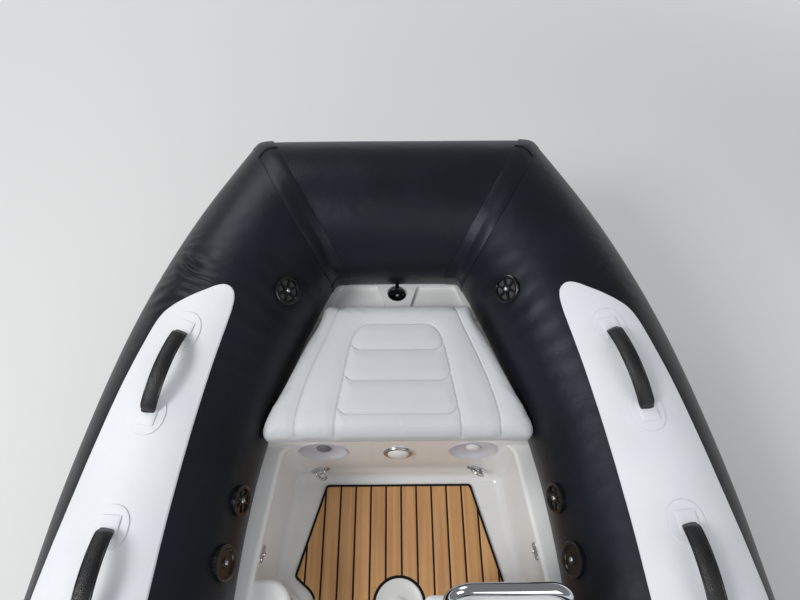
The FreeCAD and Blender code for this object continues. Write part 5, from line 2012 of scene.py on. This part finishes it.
@dataclass
class BowMoulding(Assembly):
    """The locker face with its fittings, the step with its trays, and the lid."""

    face_x: float = 0.941
    dish_y: float = 0.200
    dish_z: float = 0.412
    latch_z: float = 0.402
    eye_y: float = 0.226
    eye_z: float = 0.253
    eye_hang: float = 0.75
    wall_x: float = 0.686
    wall_y: float = 0.341 - 0.041 * 0.075 / 0.330
    wall_z: float = 0.424
    wall_slant: float = 0.1242
    # Profiles of turned fittings: radius, height
    dish: tuple = (
        (0.0, 0.0035), (0.0300, 0.0035), (0.0420, 0.0042), (0.0500, 0.0060), (0.0560, 0.0095),
        (0.0600, 0.0128), (0.0622, 0.0152), (0.0640, 0.0160), (0.0658, 0.0156), (0.0666, 0.0140),
        (0.0666, 0.0004), (0.0, 0.0004),
    )
    dish_hub: tuple = (
        (0.0, 0.0122), (0.0100, 0.0120), (0.0125, 0.0112), (0.0132, 0.0098), (0.0172, 0.0094),
        (0.0186, 0.0086), (0.0190, 0.0070), (0.0190, 0.0030), (0.0, 0.0030),
    )
    latch_ring: tuple = (
        (0.0300, 0.0), (0.0300, 0.0040), (0.0316, 0.0060), (0.0350, 0.0066), (0.0382, 0.0056),
        (0.0398, 0.0034), (0.0400, 0.0), (0.0300, 0.0),
    )
    eye_screw: tuple = ((0.0, 0.0060), (0.0030, 0.0057), (0.0044, 0.0046), (0.0046, 0.002), (0.0, 0.002))
    eye_hub: tuple = (
        (0.0, 0.0125), (0.0050, 0.0120), (0.0078, 0.0098), (0.0086, 0.0060), (0.0086, 0.002), (0.0, 0.002),
    )
    wall_screw: tuple = ((0.0, 0.0070), (0.0020, 0.0068), (0.0030, 0.0060), (0.0031, 0.001), (0.0, 0.001))
    wall_pin: tuple = ((0.0, 0.0100), (0.0035, 0.0096), (0.0048, 0.0080), (0.0050, 0.001), (0.0, 0.001))

    def build(self) -> None:
        """Dresses the mouldings and adds the fittings on them."""
        paints = self.shop.paints
        paints.dress("white_gelcoat", "deck_liner", "bow_locker", "bow_step", "locker_lid")
        paints.dress("white_gelcoat", "side_locker", "transom")
        paints.dress("hull_gelcoat", "hull")
        paints.dress("satin_steel", "lid_hinges", "bow_eye", "stern_eyes")
        self.build_dishes()
        self.build_latch()
        self.build_eyes()
        self.build_wall_fittings()

    def build_dishes(self) -> None:
        """Two round dished covers set in the face, their bluish grey painted shade; their hubs painted grey
        as shade to port and white to starboard.
        """
        covers = []
        for side in Side:
            centre = np.array([self.face_x + 0.014, side.value * self.dish_y, self.dish_z])
            covers.append(turned_mesh("dish", self.dish, centre, AFT, 96))
            hub = turned_mesh("dish_hub_" + side.name.lower(), self.dish_hub, centre, AFT, 64)
            # The port hub is painted grey as shade.
            self.shop.piece(hub, "hub_plastic_painted_shade" if side is Side.PORT else "white_plastic")
        self.shop.piece(joined("dish_covers", covers), "dish_plastic_painted_shade", replaces=("locker_dishes",), sharp=50)

    def build_latch(self) -> None:
        """The latch: a dome, as a quarter of an ellipse turned about its axis, in a steel ring."""
        centre = np.array([self.face_x, 0.0, self.latch_z])
        angle = np.linspace(math.pi / 2, 0, 14)
        dome = [(0.0295 * math.cos(a), 0.0030 + 0.0125 * math.sin(a)) for a in angle[::-1]]
        dome += [(0.0295, 0.0002), (0.0, 0.0002)]
        mesh = turned_mesh("latch_dome", dome, centre, AFT, 80)
        self.shop.piece(mesh, "white_plastic", replaces=("locker_latch",), sharp=60)
        self.shop.piece(turned_mesh("latch_ring", self.latch_ring, centre, AFT, 80), "satin_steel", sharp=60)

    def build_eyes(self) -> None:
        """Folding eyes on the face: an oval plate with two screws, two lugs and a ring lying down."""
        parts = []
        for side in Side:
            centre = np.array([self.face_x, side.value * self.eye_y, self.eye_z])
            lean = unit(np.array([0.0, side.value, -1.0]))
            cross = np.cross(AFT, lean)
            parts.append(oval_plate(centre, lean, cross, AFT, (0.037, 0.0165, 0.0042)))
            for shift in (-0.0265, 0.0265):
                parts.append(turned_mesh("screw", self.eye_screw, centre + lean * shift, AFT, 20))
            parts.append(turned_mesh("hub", self.eye_hub, centre, AFT, 32))
            hang = unit(cross * math.cos(self.eye_hang) + AFT * math.sin(self.eye_hang))
            angle = np.linspace(-0.35, math.pi + 0.35, 44)[:, None]
            pivot = centre + AFT * 0.0085
            ring = pivot + lean * (0.0185 * np.cos(angle)) + hang * (0.0220 * np.sin(angle))
            parts.append(tube_mesh("ring", ring, 0.0042, 16))
            bar = pivot + lean * np.linspace(-0.0190, 0.0190, 5)[:, None] + hang * -0.0050
            parts.append(tube_mesh("bar", bar, 0.0038, 14))
        self.shop.piece(joined("face_eyes", parts), "stainless", replaces=("pad_eyes",), sharp=40)

    def build_wall_fittings(self) -> None:
        """Small oval steel plates on the side walls, each with two screws and a pin."""
        parts = []
        for side in Side:
            out = unit(np.array([-self.wall_slant, -1.0, 0.0])) * np.array([1, side.value, 1])
            centre = np.array([self.wall_x, side.value * self.wall_y, self.wall_z])
            along = unit(np.array([1.0, -self.wall_slant * side.value, 0.0]))
            parts.append(oval_plate(centre, along, UP, out, (0.021, 0.0100, 0.0055)))
            for shift in (-0.012, 0.012):
                parts.append(turned_mesh("screw", self.wall_screw, centre + along * shift, out, 18))
            parts.append(turned_mesh("pin", self.wall_pin, centre, out, 20))
        self.shop.piece(joined("wall_fittings", parts), "stainless", sharp=40)


def oval_plate(centre: Array, along: Array, across: Array, out: Array, size: Sequence[float]) -> Mesh:
    """A bevelled plate with round ends: rings of a superellipse, stepped in towards its top.

    Args:
        centre: The middle of its foot.
        along: Its long direction.
        across: Its short direction.
        out: The way that it faces.
        size: Half length, half width and height.

    Returns:
        The plate, closed.
    """
    steps = 64
    angle = turn_angles(steps)
    length, width, height = size
    u, v = signed_power(np.cos(angle), 0.8)[:, None], signed_power(np.sin(angle), 0.9)[:, None]
    rows = []
    for share, lift in ((0.0, 1.0), (0.8, 1.0), (0.94, 0.85), (1.0, 0.4), (1.0, 0.0), (0.0, 0.0)):
        rows.append(centre + (u * along * length + v * across * width) * share + out * (height * lift))
    return ring_mesh("plate", np.array(rows))


# Helm


@dataclass
class Helm(Assembly):
    """Console, dash, rail and steering wheel."""

    dash_foot: tuple = (0.250, -0.183, 0.600)
    wheel_tilt: float = 28.0
    dial_rise: float = 0.108
    dial_offsets: tuple = (-0.060, 0.0, 0.060)
    dial_rim: tuple = (
        # radius, height
        (0.0185, 0), (0.0185, 0.002), (0.0195, 0.003), (0.0208, 0.002), (0.0210, -0.004), (0.0185, -0.004),
        (0.0185, 0),
    )
    rail_feet: tuple = ((0.5148, -0.0905, 0.7022), (0.5148, -0.307, 0.7022))
    rail_lean: tuple = (0.1, 0.0, 1.0)
    flange: tuple = (
        # radius, height
        (0.0125, 0.004), (0.020, 0.0035), (0.0225, 0.002), (0.023, -0.006), (0.0125, -0.006), (0.0125, 0.004),
    )

    def frame_at(self) -> tuple[Array, Array, Array]:
        """Foot, upward and outward directions of the dash.

        Returns:
            The three vectors.
        """
        tilt = math.radians(self.wheel_tilt)
        up = np.array([math.sin(tilt), 0.0, math.cos(tilt)])
        out = np.array([-math.cos(tilt), 0.0, math.sin(tilt)])
        return np.array(self.dash_foot), up, out

    def build(self) -> None:
        """Dresses the nodes and adds dials, with their marks and hands, and rail flanges."""
        paints = self.shop.paints
        paints.dress("white_gelcoat", "console")
        paints.dress("black_plastic", "dash_panel", "throttle")
        paints.dress("stainless", "grab_rail")
        paints.dress("black_grip", "steering_wheel")
        foot, up, out = self.frame_at()
        rims, marks = [], []
        for offset in self.dial_offsets:
            centre = foot + up * self.dial_rise + PORTWARD * offset + out * 0.008
            rims.append(turned_mesh("rim", self.dial_rim, centre, out, 48))
            for angle in np.radians(np.arange(-130, 131, 26)):
                way = up * math.cos(angle) + PORTWARD * math.sin(angle)
                line = centre + out * 0.0004 + way * np.linspace(0.0135, 0.0165, 2)[:, None]
                marks.append(tube_mesh("tick", line, 0.0005, 6))
            way = unit(up - PORTWARD * 0.7)
            hand = centre + out * 0.0008 + way * np.linspace(-0.003, 0.013, 2)[:, None]
            marks.append(tube_mesh("hand", hand, 0.0006, 6))
        self.shop.piece(joined("dial_rims", rims), "satin_steel", sharp=40)
        self.shop.piece(joined("dial_marks", marks), "dial_white")
        lean = np.array(self.rail_lean)
        flanges = [turned_mesh("flange", self.flange, np.array(place), lean, 48) for place in self.rail_feet]
        self.shop.piece(joined("rail_flanges", flanges), "stainless", sharp=40)


@dataclass
class Outboard(Assembly):
    """The tilted motor: its CAD forms, painted, and its hood as one smooth moulding."""

    pivot: tuple = (-1.345, 0.0, 0.560)
    tilt: float = 65.0
    front_x: float = -1.300
    back_x: float = -1.800
    half: float = 0.175
    around: int = 240
    split: float = 0.722
    rows: tuple = (
        # height, inset of the front, of the back, of the sides, corner radius
        (0.660, 0.052, 0.112, 0.057, 0.060),
        (0.690, 0.038, 0.078, 0.043, 0.075),
        (0.760, 0.016, 0.034, 0.017, 0.095),
        (0.860, 0.003, 0.008, 0.003, 0.105),
        (0.980, 0.000, 0.000, 0.000, 0.110),
        (1.060, 0.004, 0.004, 0.004, 0.108),
        (1.115, 0.022, 0.024, 0.018, 0.100),
        (1.145, 0.052, 0.058, 0.043, 0.085),
        (1.160, 0.100, 0.110, 0.080, 0.060),
    )

    def stations(self, count: int) -> Array:
        """The rows drawn out to many by a smooth cubic curve through them, evenly along it.

        Args:
            count: How many to draw.

        Returns:
            Rows like those of the hood.
        """
        knots = np.array(self.rows)
        length = np.concatenate([[0], np.cumsum(np.linalg.norm(np.diff(knots[:, :2], axis=0), axis=1))])
        slope = np.gradient(knots, length, axis=0)
        where = np.linspace(0, length[-1], count)
        index = np.clip(np.searchsorted(length, where, side="right") - 1, 0, len(knots) - 2)
        span = (length[index + 1] - length[index])[:, None]
        t = ((where - length[index]) / span[:, 0])[:, None]
        start, end = knots[index], knots[index + 1]
        return (
            start * (1 + 2 * t) * (1 - t) ** 2
            + slope[index] * span * t * (1 - t) ** 2
            + end * t ** 2 * (3 - 2 * t)
            - slope[index + 1] * span * t ** 2 * (1 - t)
        )

    def ring(self, row: Array) -> tuple[Array, Array]:
        """Even points round one rounded plan, with the outward normal at each.

        Args:
            row: One row of the hood.

        Returns:
            Points and normals.
        """
        height, front, back, side, corner = row
        x0, x1, y = self.back_x + back, self.front_x - front, self.half - side
        outline = rounded_outline([(x1, y, corner), (x1, -y, corner), (x0, -y, corner), (x0, y, corner)], 24)
        closed = np.concatenate([outline, outline[:1]])
        length = np.concatenate([[0], np.cumsum(np.linalg.norm(np.diff(closed, axis=0), axis=1))])
        where = np.linspace(0, length[-1], self.around, endpoint=False)
        points = np.column_stack([np.interp(where, length, closed[:, k]) for k in (0, 1)])
        along = unit(np.roll(points, -1, axis=0) - np.roll(points, 1, axis=0))
        out = np.column_stack([-along[:, 1], along[:, 0], np.zeros(self.around)])
        return np.column_stack([points, np.full(self.around, height)]), out

    def relief(self, points: Array) -> Array:
        """Depth below the plain form: the split line, a long side recess and slots behind the top.

        Args:
            points: Points of the upright hood.

        Returns:
            The depth at each point.
        """
        x, y, z = points[..., 0], points[..., 1], points[..., 2]
        depth = 0.0035 * np.exp(-(((z - self.split) / 0.0022) ** 2))
        middle_x, middle_z = (self.front_x + self.back_x) / 2, 0.925
        slant = (x - middle_x) * 0.16
        reach = np.maximum(np.abs(x - middle_x) / 0.185, np.abs(z - middle_z - slant) / 0.070)
        depth = depth + 0.0045 * (1 - smoothstep(reach, 0.86, 1.0)) * smoothstep(np.abs(y), 0.10, 0.15)
        behind = smoothstep(-x, -self.back_x - 0.12, -self.back_x - 0.05)
        behind = behind * (1 - smoothstep(np.abs(y), 0.085, 0.105))
        slot = 0.5 + 0.5 * np.cos((z - 1.045) * 2 * math.pi / 0.020)
        inside = smoothstep(z, 0.975, 0.985) * (1 - smoothstep(z, 1.068, 1.078))
        depth = depth + 0.0070 * behind * inside * smoothstep(slot, 0.35, 0.65)
        return depth

    def parked(self, points: Array) -> Array:
        """Points turned from upright to the parked tilt about the tilt pin.

        Args:
            points: Upright points.

        Returns:
            The turned points.
        """
        angle = math.radians(self.tilt)
        apart = points - np.array(self.pivot)
        x = apart[..., 0] * math.cos(angle) + apart[..., 2] * math.sin(angle)
        z = -apart[..., 0] * math.sin(angle) + apart[..., 2] * math.cos(angle)
        return np.stack([x, apart[..., 1], z], axis=-1) + np.array(self.pivot)

    def hood(self) -> Mesh:
        """The hood: rings up its height, drawn in to a slightly crowned top.

        Returns:
            The hood's mesh.
        """
        rows = []
        for station in self.stations(170):
            points, out = self.ring(station)
            rows.append(points - out * self.relief(points)[:, None])
        top, base = rows[-1], rows[0]
        middle = np.array([top[:, 0].mean(), 0.0, top[0, 2]])
        for share in (0.9, 0.75, 0.5, 0.25, 0.0):
            rows.append(middle + (top - middle) * share + np.array([0, 0, 0.0035 * (1 - share ** 2)]))
        rows.insert(0, np.repeat(base.mean(axis=0)[None], self.around, axis=0))
        grid = self.parked(np.array(rows))
        return ring_mesh("motor_hood", grid)

    def build(self) -> None:
        """Dresses the motor's nodes and makes its hood."""
        paints = self.shop.paints
        paints.dress("grey_paint", "clamp_bracket", "swivel_bracket")
        paints.dress("black_paint", "midsection", "gearcase")
        paints.dress("propeller_paint", "propeller")
        self.shop.piece(self.hood(), "black_paint", Body.MOTOR, ("cowl",), sharp=50)


# Stage


def aimed(item: bpy.types.Object, place: Sequence[float], look: Vector) -> None:
    """Puts a camera or a lamp at a place and turns it to look along a direction.

    Args:
        item: The camera or lamp.
        place: Where it stands.
        look: The direction.
    """
    item.location = place
    item.rotation_mode = "QUATERNION"
    item.rotation_quaternion = look.to_track_quat("-Z", "Y")


@dataclass
class Studio:
    """Camera, floor, world and lamps."""

    camera_place: tuple = (0.421, 0.0, 1.930)
    pitch: float = 56.5
    yaw: float = 0.5
    lens: float = 26.1
    floor_half: float = 40.0
    fade_start: float = 2.6
    fade_end: float = 7.5
    lamps: tuple = (
        # name, place, width, power in watts
        ("key_softbox", (-0.7, 2.5, 3.7), 1.3, 102.0),
        ("fill_softbox", (-2.4, -1.8, 3.2), 2.6, 42.0),
        ("bow_softbox", (3.4, 2.2, 3.6), 1.8, 46.0),
    )
    lamp_target: tuple = (0.6, 0.0, 0.4)

    def build(self) -> None:
        """Sets the stage."""
        self.build_camera()
        self.build_floor()
        self.build_world()
        for row in self.lamps:
            self.build_lamp(*row)
        bpy.context.scene.view_settings.view_transform = "Standard"

    def build_camera(self) -> None:
        """The camera at the photograph's place: over the console, looking down to the bow."""
        data = bpy.data.cameras.new("view")
        data.lens = self.lens
        data.sensor_width = 36.0
        data.clip_start = 0.01
        camera = placed("view", data)
        pitch, yaw = math.radians(self.pitch), math.radians(self.yaw)
        level = math.cos(pitch)
        look = Vector((level * math.cos(yaw), -level * math.sin(yaw), -math.sin(pitch)))
        aimed(camera, self.camera_place, look)
        bpy.context.scene.camera = camera

    def build_floor(self) -> None:
        """A plain pale floor under the keel pad, white to the camera far away."""
        points = self.floor_half * np.array([(-1, -1, 0), (1, -1, 0), (1, 1, 0), (-1, 1, 0)])
        mesh = new_mesh("floor", points, np.array([[0, 1, 2, 3]]))
        floor = placed("floor", mesh)
        material, graph, shader = new_material("pale_floor")
        shader.inputs["Base Color"].default_value = (0.72, 0.72, 0.71, 1.0)
        shader.inputs["Roughness"].default_value = 0.8
        apart = graph.add("VectorMath", {"operation": "LENGTH"})
        graph.feed(apart.inputs[0], graph.place())
        distance = graph.math("DIVIDE", apart.outputs["Value"], self.fade_end)
        far = graph.ramp(distance, self.fade_start / self.fade_end, 1.0)
        path = graph.add("LightPath")
        seen = graph.math("MAXIMUM", path.outputs["Is Camera Ray"], path.outputs["Is Glossy Ray"])
        seen = graph.math("MAXIMUM", seen, path.outputs["Is Transmission Ray"])
        white = graph.add("Emission", Color=DAYLIGHT, Strength=1.0)
        blend = graph.add("MixShader", Fac=graph.math("MULTIPLY", far, seen))
        graph.feed(blend.inputs[1], shader.outputs["BSDF"])
        graph.feed(blend.inputs[2], white.outputs["Emission"])
        graph.feed(material.node_tree.nodes["Material Output"].inputs["Surface"], blend.outputs["Shader"])
        mesh.materials.append(material)

    def build_world(self) -> None:
        """A plain grey-white world, white to the camera and dimmed in gloss."""
        world = bpy.data.worlds.new("studio")
        bpy.context.scene.world = world
        world.use_nodes = True
        graph = Graph(world.node_tree)
        background = world.node_tree.nodes["Background"]
        path = graph.add("LightPath")
        camera = graph.math("MULTIPLY", path.outputs["Is Camera Ray"], 0.50)
        gloss = graph.math("MULTIPLY", path.outputs["Is Glossy Ray"], -0.25)
        strength = graph.math("ADD", graph.math("ADD", camera, gloss), 0.50)
        background.inputs["Color"].default_value = DAYLIGHT
        graph.feed(background.inputs["Strength"], strength)

    def build_lamp(self, name: str, place: tuple, size: float, power: float) -> None:
        """A square soft lamp aimed at the boat's middle.

        Args:
            name: The lamp's name.
            place: Where it stands.
            size: Its width.
            power: Its power in watts.
        """
        data = bpy.data.lights.new(name, "AREA")
        data.shape = "SQUARE"
        data.size = size
        data.energy = power
        aimed(placed(name, data), place, Vector(self.lamp_target) - Vector(place))


def main() -> None:
    """Builds the boat's looks in order."""
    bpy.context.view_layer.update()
    Studio().build()
    shop = Shop(Paints())
    path = TubePath()
    for assembly in (
        Collar(shop, path),
        Handles(shop, path),
        Valves(shop, path),
        BowMoulding(shop),
        BowCushion(shop),
        TeakDeck(shop),
        Helm(shop),
        HelmSeat(shop),
        Outboard(shop),
    ):
        log.info("building %s", type(assembly).__name__)
        assembly.build()


if __name__ == "__main__":
    main()
